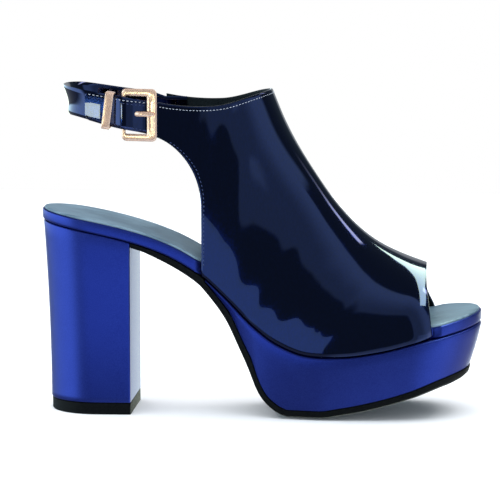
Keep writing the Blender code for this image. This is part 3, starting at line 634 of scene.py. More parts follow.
def heelRing(z, inset, heightOf):
    # one closed ring of the heel: round behind, flat breast with small corners
    lean = heel["lean"] * (1 - (z / last["heelHeight"]) ** 2)
    corner, end = heel["corner"], last["heelLength"]
    cuts = np.concatenate([last["heelRound"] * (1 - np.cos(roundTurns)),
                           np.linspace(last["heelRound"], end - corner, 9)])
    bend = pi / 2 * np.arange(1, 7) / 6
    rings = []
    for side in (-1, 1):
        x, y = outline(cuts, side, inset)
        x = np.append(x, end - corner + corner * np.sin(bend))
        y = np.append(y, y[-1] - side * corner * (1 - np.cos(bend)))
        x = x + lean * (end - x) / end
        rings.append(np.stack([x, y, heightOf(x)], 1))
    return np.concatenate([rings[0], rings[1][::-1]])


def ringStack(name, rings, finish, node):
    size = len(rings[0])
    final, faces = size * (len(rings) - 1), []
    for i in range(size // 2 - 1):
        j = size - 1 - i
        faces.append((i, i + 1, j - 1, j))
        faces.append((final + i, final + j, final + j - 1, final + i + 1))
    for k in range(0, final, size):
        for i in range(size):
            j = (i + 1) % size
            faces.append((k + i, k + size + i, k + size + j, k + j))
    addPiece(name, np.concatenate(rings), faces, [finish], [node], 40.0)


def buildHeel():
    low, inset, radius = heel["topPiece"] + last["gap"], heel["inset"], heel["topRound"]
    full = last["heelHeight"] - last["gap"] - low

    def seatFoot(x):
        return seat(x) - last["gap"]

    rings = [heelRing(last["heelHeight"], into(0.0), height)
             for into, height in edgeLevels(flat(inset), seatFoot, flat(radius), 5)]
    for share in (0.93, 0.85, 0.75, 0.62, 0.48, 0.34, 0.2, 0.1, 0.03):
        rings.append(heelRing(low + share * full, inset,
                              lambda x, s=share: low + s * (seatFoot(x) - radius - low)))
    rings.append(heelRing(low, inset, flat(low + 0.5)))
    rings.append(heelRing(low, inset + 0.35, flat(low)))
    ringStack("heelWrap", rings, metallicBlue, "heel")
    inset = last["topPieceInset"] - 0.1
    high = heel["topPiece"]
    rims = ((high, 0.3), (high - 0.3, 0.0), (0.5, 0.1), (0.0, 0.6))
    rings = [heelRing(z, inset + extra, flat(z)) for z, extra in rims]
    ringStack("heelTopPiece", rings, blackRubber, "top_piece")


buildHeel()
print("sole and heel made")

upper = {
    "wall": 1.8,
    "collarHeight": 159.9,
    "instepHeight": 162.8,
    "instepReach": 118.0,
    "peepHeight": 76.5,
    "peepReach": 197.3,
    "peepFoot": 202.3,
    "quarterReach": 84.0,
    "quarterTop": 106.0,
    "tabReach": 61.0,
    "tabFoot": 142.2,
    "ankleWidth": 56.0,
    "tuck": 1.0,
    "tuckHeight": 2.6,
    "creaseReach": 22.0,
    "sag": 3.6,
    "ridgeShift": 2.0,
    "tabRows": 9,
    "quarterRows": 40,
    "soleRows": 100,
    "columns": 44,
    "rounding": 6,
    "edgeRuns": (0.0, 0.9, 1.8, 2.8, 4.0),
    "rowBlur": 60,
    "peepTurn": 2.0,
    "peepTurnReach": 12.0,
    "peepPull": 2.6,
    "peepPullReach": 24.0,
    "collarLip": 2.2,
    "collarLipReach": 16.0,
}
# Share of the ridge's length in plan, share of its drop
ridgeLine = [
    (0.000, 0.000), (0.035, 0.060), (0.088, 0.172), (0.170, 0.316), (0.270, 0.458), (0.371, 0.598),
    (0.455, 0.692), (0.553, 0.786), (0.687, 0.880), (0.873, 0.960), (1.000, 1.000),
]
# Share of the base line, share of the ridge, growth above the base, squareness, sag, shift of the ridge
sections = [
    (0.000, 0.000, 0.00, 3.20, 1.00, 0.00), (0.075, 0.045, 0.00, 3.00, 0.45, 0.00),
    (0.180, 0.130, 0.00, 2.80, 0.10, 0.00), (0.265, 0.240, 0.01, 2.50, 0.00, 0.00),
    (0.345, 0.330, 0.05, 2.25, 0.00, 0.00), (0.415, 0.430, 0.09, 2.05, 0.00, 0.10),
    (0.500, 0.545, 0.10, 1.90, 0.00, 0.25), (0.600, 0.670, 0.08, 1.82, 0.00, 0.45),
    (0.700, 0.785, 0.06, 1.85, 0.00, 0.65), (0.805, 0.885, 0.045, 1.95, 0.00, 0.85),
    (0.905, 0.950, 0.02, 2.10, 0.00, 1.00), (1.000, 1.000, 0.00, 2.30, 0.00, 1.00),
]


class Line:
    # a polyline read by share of its length
    def __init__(self, points):
        self.points = np.asarray(points, float)
        self.run = np.concatenate([[0.0], np.cumsum(np.linalg.norm(np.diff(self.points, axis=0), axis=1))])
        self.size = self.run[-1]

    def at(self, share):
        target = np.clip(np.asarray(share, float), 0, 1) * self.size
        return np.stack([np.interp(target, self.run, c) for c in self.points.T], -1)


def makeBaseLine():
    # where the upper starts, from the side: down the tab's end, round the quarter's edge, along the sole
    u = upper
    top, tab = np.array([u["tabReach"], u["collarHeight"]]), np.array([u["tabReach"], u["tabFoot"]])
    corner = np.array([u["quarterReach"], u["quarterTop"]])
    points = [top + (tab - top) * i / 6 for i in range(6)]
    first, second = tab + (corner - tab) * (0.56, 0.13), tab + (corner - tab) * (1.00, 0.50)
    for t in np.arange(60) / 60:
        points.append((1 - t) ** 3 * tab + 3 * t * (1 - t) ** 2 * first
                      + 3 * t * t * (1 - t) * second + t ** 3 * corner)
    foot = float(seat(u["quarterReach"]))
    points += [(u["quarterReach"], u["quarterTop"] + (foot - u["quarterTop"]) * i / 6) for i in range(6)]
    sole = [(x, float(seat(x))) for x in np.linspace(u["quarterReach"], u["peepFoot"], 241)]
    return Line(points + sole), len(points)


baseLine, cornerIndex = makeBaseLine()
cornerShare = baseLine.run[cornerIndex] / baseLine.size
tabShare = (upper["collarHeight"] - upper["tabFoot"]) / baseLine.size
ridgeDrop = curveOf(ridgeLine, 1, 0.03)
ridge = Line([(upper["instepReach"] + s * (upper["peepReach"] - upper["instepReach"]),
               upper["instepHeight"] + float(ridgeDrop(s)) * (upper["peepHeight"] - upper["instepHeight"]))
              for s in np.linspace(0, 1, 241)])
sectionCurves = [curveOf(sections, c, 0.04) for c in range(1, 6)]


def baseWidth(share, side):
    share = np.asarray(share, float)
    x, z = baseLine.at(share).T
    foot = float(seat(upper["quarterReach"]))
    low = float(halfWidth(upper["quarterReach"], side))
    rise = np.sin(pi / 2 * np.clip((z - foot) / (upper["tabFoot"] - foot), 0, 1))
    return np.where(share >= cornerShare, halfWidth(x, side), low + (upper["ankleWidth"] / 2 - low) * rise)


def softWidth(share, side):
    # averaged along the base line, so that no crease runs up from the quarter's corner
    share = np.asarray(share, float)
    reach = 0.07 * (1 - ease((share - 0.55) / 0.2))
    total, weight = 0.0, 0.0
    for i in range(-10, 11):
        part = 1 - (i / 11) ** 2
        total = total + part * baseWidth(np.clip(share + reach * i / 10, 0, 1), side)
        weight += part
    return total / weight


def upperSide(shares, side, columns):
    # grid of one side of the upper, from the base line to the ridge, rows by base share
    start, soft = baseWidth(shares, side), softWidth(shares, side)
    ridgeShare, grow, square, sag, shiftShare = [c(shares) for c in sectionCurves]
    bottoms, tops = baseLine.at(shares), ridge.at(ridgeShare)
    angle = np.linspace(0, pi / 2, 121)
    grid = []
    for r in range(len(shares)):
        share = np.sin(angle) ** (2 / square[r])
        spread = np.cos(angle) * (1 - grow[r] * (1 - share) ** 2)
        x = bottoms[r, 0] + (tops[r, 0] - bottoms[r, 0]) * share
        z = bottoms[r, 1] + (tops[r, 1] - bottoms[r, 1]) * share
        z -= sag[r] * upper["sag"] * 4 * share * (1 - share)
        length = np.linalg.norm(tops[r] - bottoms[r])
        move = shiftShare[r] * upper["ridgeShift"]
        half = start[r] + (soft[r] - start[r]) * ease(share * length / upper["creaseReach"])
        y = side * (half - side * move) / (1 - grow[r]) * spread + move
        if shares[r] >= cornerShare - 1e-9:
            y -= side * upper["tuck"] * np.clip(1 - share * length / upper["tuckHeight"], 0, 1) ** 2
        dense = np.stack([x, y, z], 1)
        run = np.concatenate([[0.0], np.cumsum(np.linalg.norm(np.diff(dense, axis=0), axis=1))])
        edge = np.array(upper["edgeRuns"])
        places = np.concatenate([edge, edge[-1] + (run[-1] - edge[-1]) * (np.arange(columns) + 1) / columns])
        grid.append(np.stack([np.interp(places, run, dense[:, c]) for c in range(3)], 1))
    return np.array(grid)


def blurRows(grid, passes, keep):
    # rounds what bends from row to row, held at the borders by keep, 0 for a fixed point
    soft = grid.copy()
    for _ in range(passes):
        moved = soft.copy()
        moved[1:-1] = 0.25 * soft[:-2] + 0.5 * soft[1:-1] + 0.25 * soft[2:]
        soft = soft + (moved - soft) * keep[..., None]
    return soft


def gridNormals(grid):
    n = np.cross(np.gradient(grid, axis=1), np.gradient(grid, axis=0))
    n /= np.linalg.norm(n, axis=2)[..., None] + 1e-12
    lateral = n[grid.shape[0] // 3, grid.shape[1] // 4]
    return -n if lateral[1] > 0 else n


# Creases and swells: side, start and end as (x, z), half width, height along the normal
creases = [
    (-1, (64, 128), (70, 152), 3.0, -0.25),
    (-1, (74, 118), (80, 150), 3.6, 0.30),
    (-1, (88, 96), (92, 140), 4.5, -0.35),
    (-1, (98, 84), (106, 128), 5.5, 0.35),
    (-1, (112, 60), (128, 84), 5.0, -0.35),
    (-1, (128, 50), (146, 72), 5.0, 0.35),
    (-1, (146, 46), (160, 62), 4.5, -0.25),
    (1, (76, 112), (84, 150), 4.0, -0.30),
    (1, (96, 84), (108, 124), 5.5, 0.35),
    (1, (116, 58), (134, 82), 5.0, -0.35),
    (1, (142, 46), (160, 66), 5.0, 0.30),
]


def creaseDepth(grid):
    depth = np.zeros(grid.shape[:2])
    x, y, z = grid[..., 0], grid[..., 1], grid[..., 2]
    for side, start, end, width, height in creases:
        line = np.array(end, float) - np.array(start, float)
        length = np.linalg.norm(line)
        along = ((x - start[0]) * line[0] + (z - start[1]) * line[1]) / length
        off = ((x - start[0]) * line[1] - (z - start[1]) * line[0]) / length
        beyond = np.maximum(0, np.maximum(-along, along - length))
        part = np.exp(-(off / width) ** 2 - (beyond / (0.35 * length)) ** 2)
        depth += height * part * ease((side * y - 4) / 8)
    return depth


def borderFrames(points, normals):
    # outward direction in the surface at each point of a closed border
    tangent = np.roll(points, -1, 0) - np.roll(points, 1, 0)
    tangent /= np.linalg.norm(tangent, axis=1)[:, None] + 1e-12
    out = np.cross(tangent, normals)
    return out / (np.linalg.norm(out, axis=1)[:, None] + 1e-12)


def shell(name, grid, inward, finishes, node):
    # a sheet with its own wall: outside, lining and a rounded rim between them
    rows, columns = grid.shape[:2]
    wall, steps = upper["wall"], upper["rounding"]
    normals = gridNormals(grid)
    border = [(0, c) for c in range(columns)] + [(r, columns - 1) for r in range(1, rows)]
    border += [(rows - 1, c) for c in range(columns - 2, -1, -1)] + [(r, 0) for r in range(rows - 2, 0, -1)]
    br, bc = np.array(border).T
    rim = grid[br, bc]
    out = borderFrames(rim, normals[br, bc])
    if np.mean(np.sum(out * (rim - grid[rows // 2, columns // 2]), 1)) < 0:
        out = -out
    grid = grid.copy()
    grid[br, bc] -= out * wall / 2
    inner = grid - inward * wall
    outerRim, innerRim = grid[br, bc], inner[br, bc]
    middle, reach = 0.5 * (outerRim + innerRim), 0.5 * (outerRim - innerRim)
    arcs = [middle + reach * cos(a) + out * wall / 2 * sin(a) for a in pi * np.arange(1, steps) / steps]
    points = np.concatenate([grid.reshape(-1, 3), inner.reshape(-1, 3), *arcs])
    size, ring = rows * columns, len(border)
    index = np.arange(size).reshape(rows, columns)
    faces, slots = [], []
    for r in range(rows - 1):
        for c in range(columns - 1):
            quad = (index[r, c], index[r + 1, c], index[r + 1, c + 1], index[r, c + 1])
            faces += [quad, [size + i for i in reversed(quad)]]
            slots += [0, 1]
    loops = [index[br, bc]] + [2 * size + ring * k + np.arange(ring) for k in range(steps - 1)]
    loops.append(size + index[br, bc])
    for k in range(steps):
        for i in range(ring):
            j = (i + 1) % ring
            faces.append((loops[k][i], loops[k][j], loops[k + 1][j], loops[k + 1][i]))
            slots.append(0 if k < steps // 2 + 1 else 1)
    faces = [tuple(int(i) for i in face) for face in faces]
    addPiece(name, points, faces, finishes, [node], 60.0, slots)
    return grid, normals


def buildUpper():
    u = upper
    shares = np.concatenate([
        np.linspace(0, tabShare, u["tabRows"])[:-1],
        np.linspace(tabShare, cornerShare, u["quarterRows"])[:-1],
        np.linspace(cornerShare, 1.0, u["soleRows"]),
    ])
    lateral, medial = (upperSide(shares, side, u["columns"]) for side in (-1, 1))
    grid = np.concatenate([lateral, medial[:, -2::-1]], 1)
    columns = np.arange(grid.shape[1])
    fromEdge = np.minimum(columns, columns[::-1])
    keep = np.clip((fromEdge - 4) / 8, 0, 1)[None, :] * np.ones((len(shares), 1))
    keep[0] = keep[-1] = 0
    grid = blurRows(grid, u["rowBlur"], keep)

    def near(row, reach):
        # 1 at a border row, falling to 0 at the reach
        return np.clip(1 - np.linalg.norm(grid - grid[row][None], axis=2) / reach, 0, 1) ** 2

    medialEdge = ease(grid[..., 1] / 18) * ease((grid[..., 2] - 48) / 12)
    grid[..., 0] -= u["peepPull"] * near(-1, u["peepPullReach"]) * medialEdge
    front = ease((grid[0, :, 0] - 90) / 24)
    grid[..., 2] += u["collarLip"] * front[None, :] * near(0, u["collarLipReach"])
    normals = gridNormals(grid)
    turn = near(-1, u["peepTurnReach"]) * u["peepTurn"] * ease(np.abs(normals[..., 1]) / 0.6)
    grid = grid + normals * (creaseDepth(grid) - turn)[..., None]
    level = normals.copy()
    onSole = (shares >= cornerShare - 1e-9)[:, None] & (fromEdge < 5)[None, :]
    level[..., 2] = np.where(onSole, 0.0, level[..., 2])
    level /= np.linalg.norm(level, axis=2)[..., None]
    return shell("upperPatent", grid, level, [patentNavy, darkLining], "upper")


upperGrid, upperNormals = buildUpper()
print("upper made")

strap = {
    "thickness": 1.3,
    "back": 14.8,
    "flare": 3.2,
    "footFlare": 0.5,
    "side": 24.1,
    "crown": 0.35,
    "edgeRound": 0.8,
    "roundReach": 36.0,
    "tuckStart": 53.0,
    "tuckTop": 1.4,
    "tuckFoot": 1.8,
    "tabThickness": 1.8,
    "tabEnd": 25.6,
    "tabStart": 60.4,
    "tabRound": 2.4,
    "barReach": 45.1,
    "barSide": 26.1,
    "bar": 2.0,
}
# Reach, distance of the tab's outer face from the middle
tabPlan = [
    (25.6, 25.6), (32.0, 26.6), (37.3, 27.1), (39.4, 27.9), (40.9, 28.8), (42.4, 29.8), (45.1, 30.9),
    (49.2, 30.2), (52.4, 28.9), (56.6, 27.6), (61.0, 28.1),
]
# Reach, upper edge, lower edge of strap and tab
strapEdges = [
    (14.0, 166.9, 152.1), (18.0, 166.5, 151.9), (27.0, 164.9, 150.2), (38.0, 163.2, 147.3),
    (47.0, 162.0, 145.8), (55.0, 160.9, 144.1), (61.0, 159.9, 142.2),
]
tabCurve = curveOf(tabPlan, 1, 1.2)
topEdge, footEdge = curveOf(strapEdges, 1, 3.0), curveOf(strapEdges, 2, 3.0)


def ribbon(name, path, tops, feet, thickness, crown, nodes, lean=None):
    # a flat strap on edge: rounded edges, slightly full in the middle, swept along a plan path
    direction = np.gradient(path, axis=0)
    direction /= np.linalg.norm(direction, axis=1)[:, None]
    outward = np.stack([direction[:, 1], -direction[:, 0]], 1)
    steps = 14
    section = [(k / steps, 1) for k in range(steps + 1)] + [(1 - k / steps, -1) for k in range(steps + 1)]
    points, faces, count = [], [], len(section)
    for k in range(len(path)):
        height = tops[k] - feet[k]
        for share, face in section:
            edge = min(1.0, min(share, 1 - share) * height / strap["edgeRound"])
            push = face * thickness / 2 * sqrt(1 - (1 - edge) ** 2)
            push += crown * 2 * share * (1 - share) * (1 if face > 0 else 0.2)
            if lean:
                push += lean(k, share)
            points.append((*(path[k] + outward[k] * push), feet[k] + share * height))
    final = count * (len(path) - 1)
    for k in range(0, final, count):
        for i in range(count):
            j = (i + 1) % count
            faces.append((k + i, k + count + i, k + count + j, k + j))
    for k in (0, final):
        faces += [(k + i, k + i + 1, k + count - 2 - i, k + count - 1 - i) for i in range(steps)]
    addPiece(name, points, faces, [patentNavy], nodes, 50.0)


def strapPath():
    # the strap's middle line in plan, from the medial quarter round the heel to the fold at the rear bar
    side, t, gap = strap["side"], strap["thickness"], last["gap"]
    medial = upper["ankleWidth"] / 2 - upper["wall"] - gap - t / 2
    points = [(72.0, medial), (65.0, medial), (56.0, medial), (48.0, 25.0)]
    for a in pi * np.arange(33) / 32:
        reach = strap["roundReach"] - (strap["roundReach"] - strap["back"]) * abs(sin(a)) ** 0.9
        points.append((reach, side * np.sign(cos(a)) * abs(cos(a)) ** 0.8))
    bx, by = strap["barReach"], -strap["barSide"]
    points += [(bx - 6.0, -side), (bx - 3.2, -side)]
    radius = strap["bar"] / 2 + gap + t / 2
    points += [(bx + radius * cos(a), by + radius * sin(a)) for a in pi / 2 - pi * np.arange(13) / 12]
    points += [(bx - 1.6, by - 1.45), (bx - 2.9, by - 0.6), (bx - 3.5, by - 0.1)]
    return Line(points).at(np.linspace(0, 1, 230))


def softPath(path, passes):
    path = path.copy()
    for _ in range(passes):
        path[1:-1] = 0.25 * path[:-2] + 0.5 * path[1:-1] + 0.25 * path[2:]
    return path


def buildStraps():
    path = softPath(strapPath(), 6)
    reach = np.clip(path[:, 0], 14.0, upper["tabReach"])
    tuck = np.where(path[:, 1] > 0, np.clip((path[:, 0] - strap["tuckStart"]) / 8, 0, 1), 0)
    rear = np.clip(1 - (path[:, 0] - strap["back"]) / 14, 0, 1)

    def lean(k, share):
        top = strap["flare"] * max(0.0, (share - 0.35) / 0.65) ** 1.5
        return rear[k] * (top + strap["footFlare"] * max(0.0, 1 - share / 0.35))

    tops, feet = topEdge(reach) - strap["tuckTop"] * tuck, footEdge(reach) + strap["tuckFoot"] * tuck
    ribbon("slingStrap", path, tops, feet, strap["thickness"], strap["crown"], ["sling_strap"], lean)
    x = np.linspace(strap["tabStart"], strap["tabEnd"], 90)
    plan = np.stack([x, strap["tabThickness"] / 2 - tabCurve(x)], 1)
    middle, half = 0.5 * (topEdge(x) + footEdge(x)), 0.5 * (topEdge(x) - footEdge(x))
    into = np.clip((x - strap["tabEnd"]) / strap["tabRound"], 0, 1)
    half *= 0.72 + 0.28 * np.sqrt(1 - (1 - into) ** 2)
    ribbon("buckleTab", plan, middle + half, middle - half, strap["tabThickness"] * 0.98, 0.0, [])


buildStraps()
print("straps made")

buckle = {
    "length": 18.1,
    "height": 26.4,
    "thickness": 2.0,
    "rear": 2.0,
    "front": 5.1,
    "side": 3.7,
    "middle": 153.2,
    "corner": 2.4,
    "windowCorner": 0.6,
    "groove": 0.30,
    "prongSetback": 2.2,
    "prongHalfWidth": 0.6,
    "prongHalfHeight": 1.25,
    "ringWall": 0.84,
    "ringHalfHeight": 0.7,
    "keeperReach": 37.3,
    "keeperWidth": 4.2,
    "keeperThickness": 0.9,
    "keeperLean": 7.5,
}


def boxLoop(left, right, low, high, radius, corner=6, straight=10):
    # a rounded rectangle, with as many points on each corner and side as on its neighbours
    points = []
    corners = ((right - radius, low + radius, -pi / 2), (right - radius, high - radius, 0.0),
               (left + radius, high - radius, pi / 2), (left + radius, low + radius, pi))
    arcs = [[(x + radius * cos(a + turn), y + radius * sin(a + turn))
             for turn in pi / 2 * np.arange(corner + 1) / corner] for x, y, a in corners]
    for k in range(4):
        start, end = np.array(arcs[k][-1]), np.array(arcs[(k + 1) % 4][0])
        points += arcs[k] + [start + (end - start) * i / straight for i in range(1, straight)]
    return np.array(points)


def softSection(steps, acrossPower, depthPower):
    # a section with rounded corners: share from the inner to the outer loop, depth from -0.5 to 0.5
    turn = 2 * pi * np.arange(steps) / steps
    c, s = np.cos(turn), np.sin(turn)
    share = 0.5 + 0.5 * np.sign(c) * np.abs(c) ** acrossPower
    return list(zip(share, 0.5 * np.sign(s) * np.abs(s) ** depthPower))


def tubeFaces(rings, size, first=0, closed=True):
    # the faces between neighbouring rings of points
    faces = []
    for k in range(rings if closed else rings - 1):
        a, b = first + k * size, first + (k + 1) % rings * size
        faces += [(a + i, b + i, b + (i + 1) % size, a + (i + 1) % size) for i in range(size)]
    return faces


def sweepLoop(name, inner, outer, section, placeOne, node):
    points = [placeOne(*(inner[i] + (outer[i] - inner[i]) * share), depth)
              for i in range(len(inner)) for share, depth in section(i)]
    faces = tubeFaces(len(inner), len(section(0)))
    addPiece(name, points, faces, [roseGold], [node], 45.0)


def buildBuckle():
    b, barReach, barSide = buckle, strap["barReach"], strap["barSide"]
    left = barReach - strap["bar"] / 2
    right = left + b["length"]
    low, high = b["middle"] - b["height"] / 2, b["middle"] + b["height"] / 2
    outer = boxLoop(left, right, low, high, b["corner"])
    barStart = right - b["front"]
    inner = boxLoop(left + b["rear"], barStart, low + b["side"], high - b["side"], b["windowCorner"])
    frontReach = right - b["front"] / 2
    frontSide = -float(tabCurve(upper["tabReach"])) - last["gap"] - b["thickness"] / 2
    tilt = (frontSide + barSide) / (frontReach - barReach)

    def frameSide(x):
        return tilt * (x - barReach) - barSide

    def onFrame(u, v, depth):
        return u, frameSide(u) + depth * b["thickness"], v

    def section(i):
        # the front bar has a shallow groove along its outer face
        u, v = 0.5 * (inner[i] + outer[i])
        ends = ease((b["height"] / 2 - b["side"] - abs(v - b["middle"])) / 0.8)
        groove = b["groove"] * float(ends * ease((u - right + b["front"] * 0.8) / 0.8))
        return [(share, depth + (depth < 0) * groove * np.exp(-((share - 0.47) / 0.2) ** 2))
                for share, depth in softSection(20, 0.6, 0.6)]

    sweepLoop("buckleFrame", inner, outer, section, onFrame, "buckle_frame")

    # The prong rises from the tab's hole and rests on the front bar, offsets from the frame's middle plane
    rest = b["thickness"] / 2 + last["gap"] + b["prongHalfWidth"]
    arm = [(barStart - 8.4, frameSide(barStart - 8.4) - 0.4), (barStart - 6.7, frameSide(barStart) + 0.6),
           (barStart - 4.6, frameSide(barStart) - 1.1)]
    arm += [(x, frameSide(x if x >= frontReach else barStart) - rest)
            for x in (barStart - 1.6, frontReach, frontReach + 1.6)]
    reach = barReach + b["prongSetback"]
    middle = 0.5 * float(topEdge(reach) + footEdge(reach))
    line = softPath(Line(arm).at(np.linspace(0, 1, 30)), 4)
    direction = np.gradient(line, axis=0)
    direction /= np.linalg.norm(direction, axis=1)[:, None]
    normal = np.stack([-direction[:, 1], direction[:, 0]], 1)
    points = []
    for k in range(len(line)):
        tip = sqrt(max(0.05, 1 - (k / (len(line) - 1)) ** 8))
        points += [(*(line[k] + normal[k] * b["prongHalfWidth"] * tip * cos(a)),
                    middle + b["prongHalfHeight"] * tip * sin(a)) for a in pi / 6 * np.arange(12)]
    start = len(points)
    faces = tubeFaces(len(line), 12, closed=False)
    faces += [tuple(range(12)), tuple(range(start - 1, start - 13, -1))]
    half = b["ringWall"] / 2
    ring = strap["bar"] / 2 * sqrt(2) + 0.1 + half
    for a in pi / 16 * np.arange(32):
        for q in pi / 4 * np.arange(8):
            radius = ring + half * cos(q)
            points.append((barReach + radius * cos(a), radius * sin(a) - barSide,
                           middle + b["ringHalfHeight"] * sin(q)))
    faces += tubeFaces(32, 8, start)
    addPiece("buckleProng", points, faces, [roseGold], ["buckle_prong"], 50.0)


def buildKeeper():
    b, t, gap = buckle, buckle["keeperThickness"], last["gap"]
    inside = gap + strap["thickness"] / 2 - strap["side"]
    outside = -float(tabCurve(b["keeperReach"] + b["keeperWidth"])) - gap
    top = float(topEdge(b["keeperReach"])) + gap + 0.3
    foot = float(footEdge(b["keeperReach"])) - gap - 0.3
    middle, lean = 0.5 * (top + foot), radians(b["keeperLean"])
    inner = boxLoop(outside, inside, foot, top, 0.4, 5, 8)
    outer = boxLoop(outside - t, inside + t, foot - t, top + t, 0.4 + t, 5, 8)

    def onKeeper(u, v, depth):
        run, rise = depth * b["keeperWidth"], v - middle
        reach = b["keeperReach"] + run * cos(lean) + rise * sin(lean)
        return reach, u, middle + rise * cos(lean) - run * sin(lean)

    section = softSection(18, 0.7, 0.35)
    sweepLoop("strapKeeper", inner, outer, lambda i: section, onKeeper, "strap_keeper")


buildBuckle()
buildKeeper()
print("buckle made")


# Pitch, length and radius of the stitches, and how far from the edge they run
stitch = {
    "collar": (1.7, 1.25, 0.16),
    "collarInset": 1.3,
    "edge": (2.1, 1.5, 0.20),
    "edgeInset": 1.4,
    "tab": (2.0, 1.4, 0.18),
    "tabInset": 1.5,
    "tabStart": 58.5,
    "tabEnd": 26.8,
}


def stitchRow(name, points, normals, pitch, length, radius, finish):
    # short rounded stitches laid along a path, sunk a little at their ends
    path, frames = Line(points), Line(np.concatenate([points, normals], 1))
    frames.run, frames.size = path.run, path.size
    count = int(path.size / pitch)
    verts, faces = [], []
    for s in range(count):
        for k in range(5):
            t = (s + 0.5) / count + (k / 4 - 0.5) * length / path.size
            p, n = np.split(frames.at(t), 2)
            n = n / (np.linalg.norm(n) + 1e-9)
            ahead = path.at(t + 0.2 / path.size) - path.at(t - 0.2 / path.size)
            side = np.cross(ahead / (np.linalg.norm(ahead) + 1e-9), n)
            bow = sin(pi * k / 4)
            r = radius * (0.35 + 0.65 * bow ** 0.5)
            lift = radius * (bow - 0.75)
            verts += [p + n * (lift + r * sin(a)) + side * r * cos(a) for a in pi / 3 * np.arange(6)]
        first = s * 30
        faces += tubeFaces(5, 6, first, closed=False)
        faces += [tuple(range(first, first + 6)), tuple(range(first + 29, first + 23, -1))]
    addPiece(name, verts, faces, [finish], (), 60.0)


def insetLine(lines, normals, distance):
    # the points that lie at a distance from the first point of each line
    points, directions = [], []
    for line, normal in zip(lines, normals):
        run = np.concatenate([[0.0], np.cumsum(np.linalg.norm(np.diff(line, axis=0), axis=1))])
        points.append([np.interp(distance, run, line[:, c]) for c in range(3)])
        directions.append([np.interp(distance, run, normal[:, c]) for c in range(3)])
    return np.array(points), np.array(directions)


def buildStitches():
    grid, normals = upperGrid, upperNormals
    collar = [g[:12, 2:-2].swapaxes(0, 1) for g in (grid, normals)]
    # The collar row is in the pale thread, whose colour is a painted glint.
    stitchRow("collarStitches", *insetLine(*collar, stitch["collarInset"]), *stitch["collar"], paleGlintThread)
    rows = slice(upper["tabRows"] + 2, upper["tabRows"] + upper["quarterRows"] - 3)
    for name, way in (("lateralEdgeStitches", 1), ("medialEdgeStitches", -1)):
        edge = [g[rows, ::way][:, :8] for g in (grid, normals)]
        stitchRow(name, *insetLine(*edge, stitch["edgeInset"]), *stitch["edge"], navyThread)
    x = np.linspace(stitch["tabStart"], stitch["tabEnd"], 120)
    n = np.stack([-np.gradient(tabCurve(x), x), -np.ones_like(x), np.zeros_like(x)], 1)
    n /= np.linalg.norm(n, axis=1)[:, None]
    inset = stitch["tabInset"]
    # The tab's top row is in the pale thread too, a painted glint.
    for name, z, finish in (("tabTopStitches", topEdge(x) - inset, paleGlintThread),
                            ("tabTopStitchesInner", topEdge(x) - 2 * inset, navyThread),
                            ("tabFootStitches", footEdge(x) + inset, navyThread)):
        stitchRow(name, np.stack([x, -tabCurve(x), z], 1), n, *stitch["tab"], finish)


buildStitches()
print("stitches made")

# The photograph's viewpoint
view = {
    "aim": (106.6, 0.0, 82.0),
    "distance": 1.7,
    "azimuth": 4.65,
    "elevation": 7.3,
    "lens": 239.54,
}


def buildCamera():
    a, e = radians(view["azimuth"]), radians(view["elevation"])
    back = Vector((sin(a) * cos(e), -cos(a) * cos(e), sin(e)))
    aim = Vector(place([view["aim"]])[0])
    camera = bpy.data.objects.new("photoCamera", bpy.data.cameras.new("photoCamera"))
    camera.data.lens = view["lens"]
    camera.data.sensor_width = 36.0
    camera.data.clip_end = 50.0
    camera.location = aim + back * view["distance"]
    camera.rotation_euler = back.to_track_quat("Z", "Y").to_euler()
    bpy.context.scene.collection.objects.link(camera)
    bpy.context.scene.camera = camera


# The floor, and the room that the shoe reflects: levels, and places in degrees from the camera's side
studio = {
    "floor": (0.83, 0.84, 0.86),
    "floorGlow": 0.045,
    "glowColour": (0.78, 0.90, 1.0),
    "room": 0.06,
    "tint": (1.0, 1.42, 1.75),
    "umbrella": 0.15,
    "umbrellaEdge": 0.21,
    "umbrellaPlace": (-8.0, 10.0),
    "umbrellaSquash": 0.72,
    "umbrellaInner": (29.0, 33.0),
    "umbrellaOuter": (86.0, 97.0),
    "umbrellaSlant": 0.48,
    "lowPanel": 0.15,
    "ground": 0.14,
    "backGround": (1.50, 1.74, 1.34),
    "rightSide": 0.42,
    "leftWall": (1.25, 1.75, 1.95),
    "backWall": 0.32,
    "rightStrip": 5.0,
    "stripPlace": (109.0, 116.5, 0.7),
    "stripSlant": 0.27,
}


def buildFloor():
    mesh = bpy.data.meshes.new("studioFloor")
    mesh.from_pydata([(-1, -1, 0), (1, -1, 0), (1, 1, 0), (-1, 1, 0)], [], [(0, 1, 2, 3)])
    finish = Finish("floorWhite", roughness=0.7, specularIorLevel=0.1, baseColor=studio["floor"],
                    emissionStrength=studio["floorGlow"], emissionColor=studio["glowColour"])
    mesh.materials.append(finish.material)
    floor = bpy.data.objects.new("studioFloor", mesh)
    floor.visible_glossy = False
    bpy.context.scene.collection.objects.link(floor)


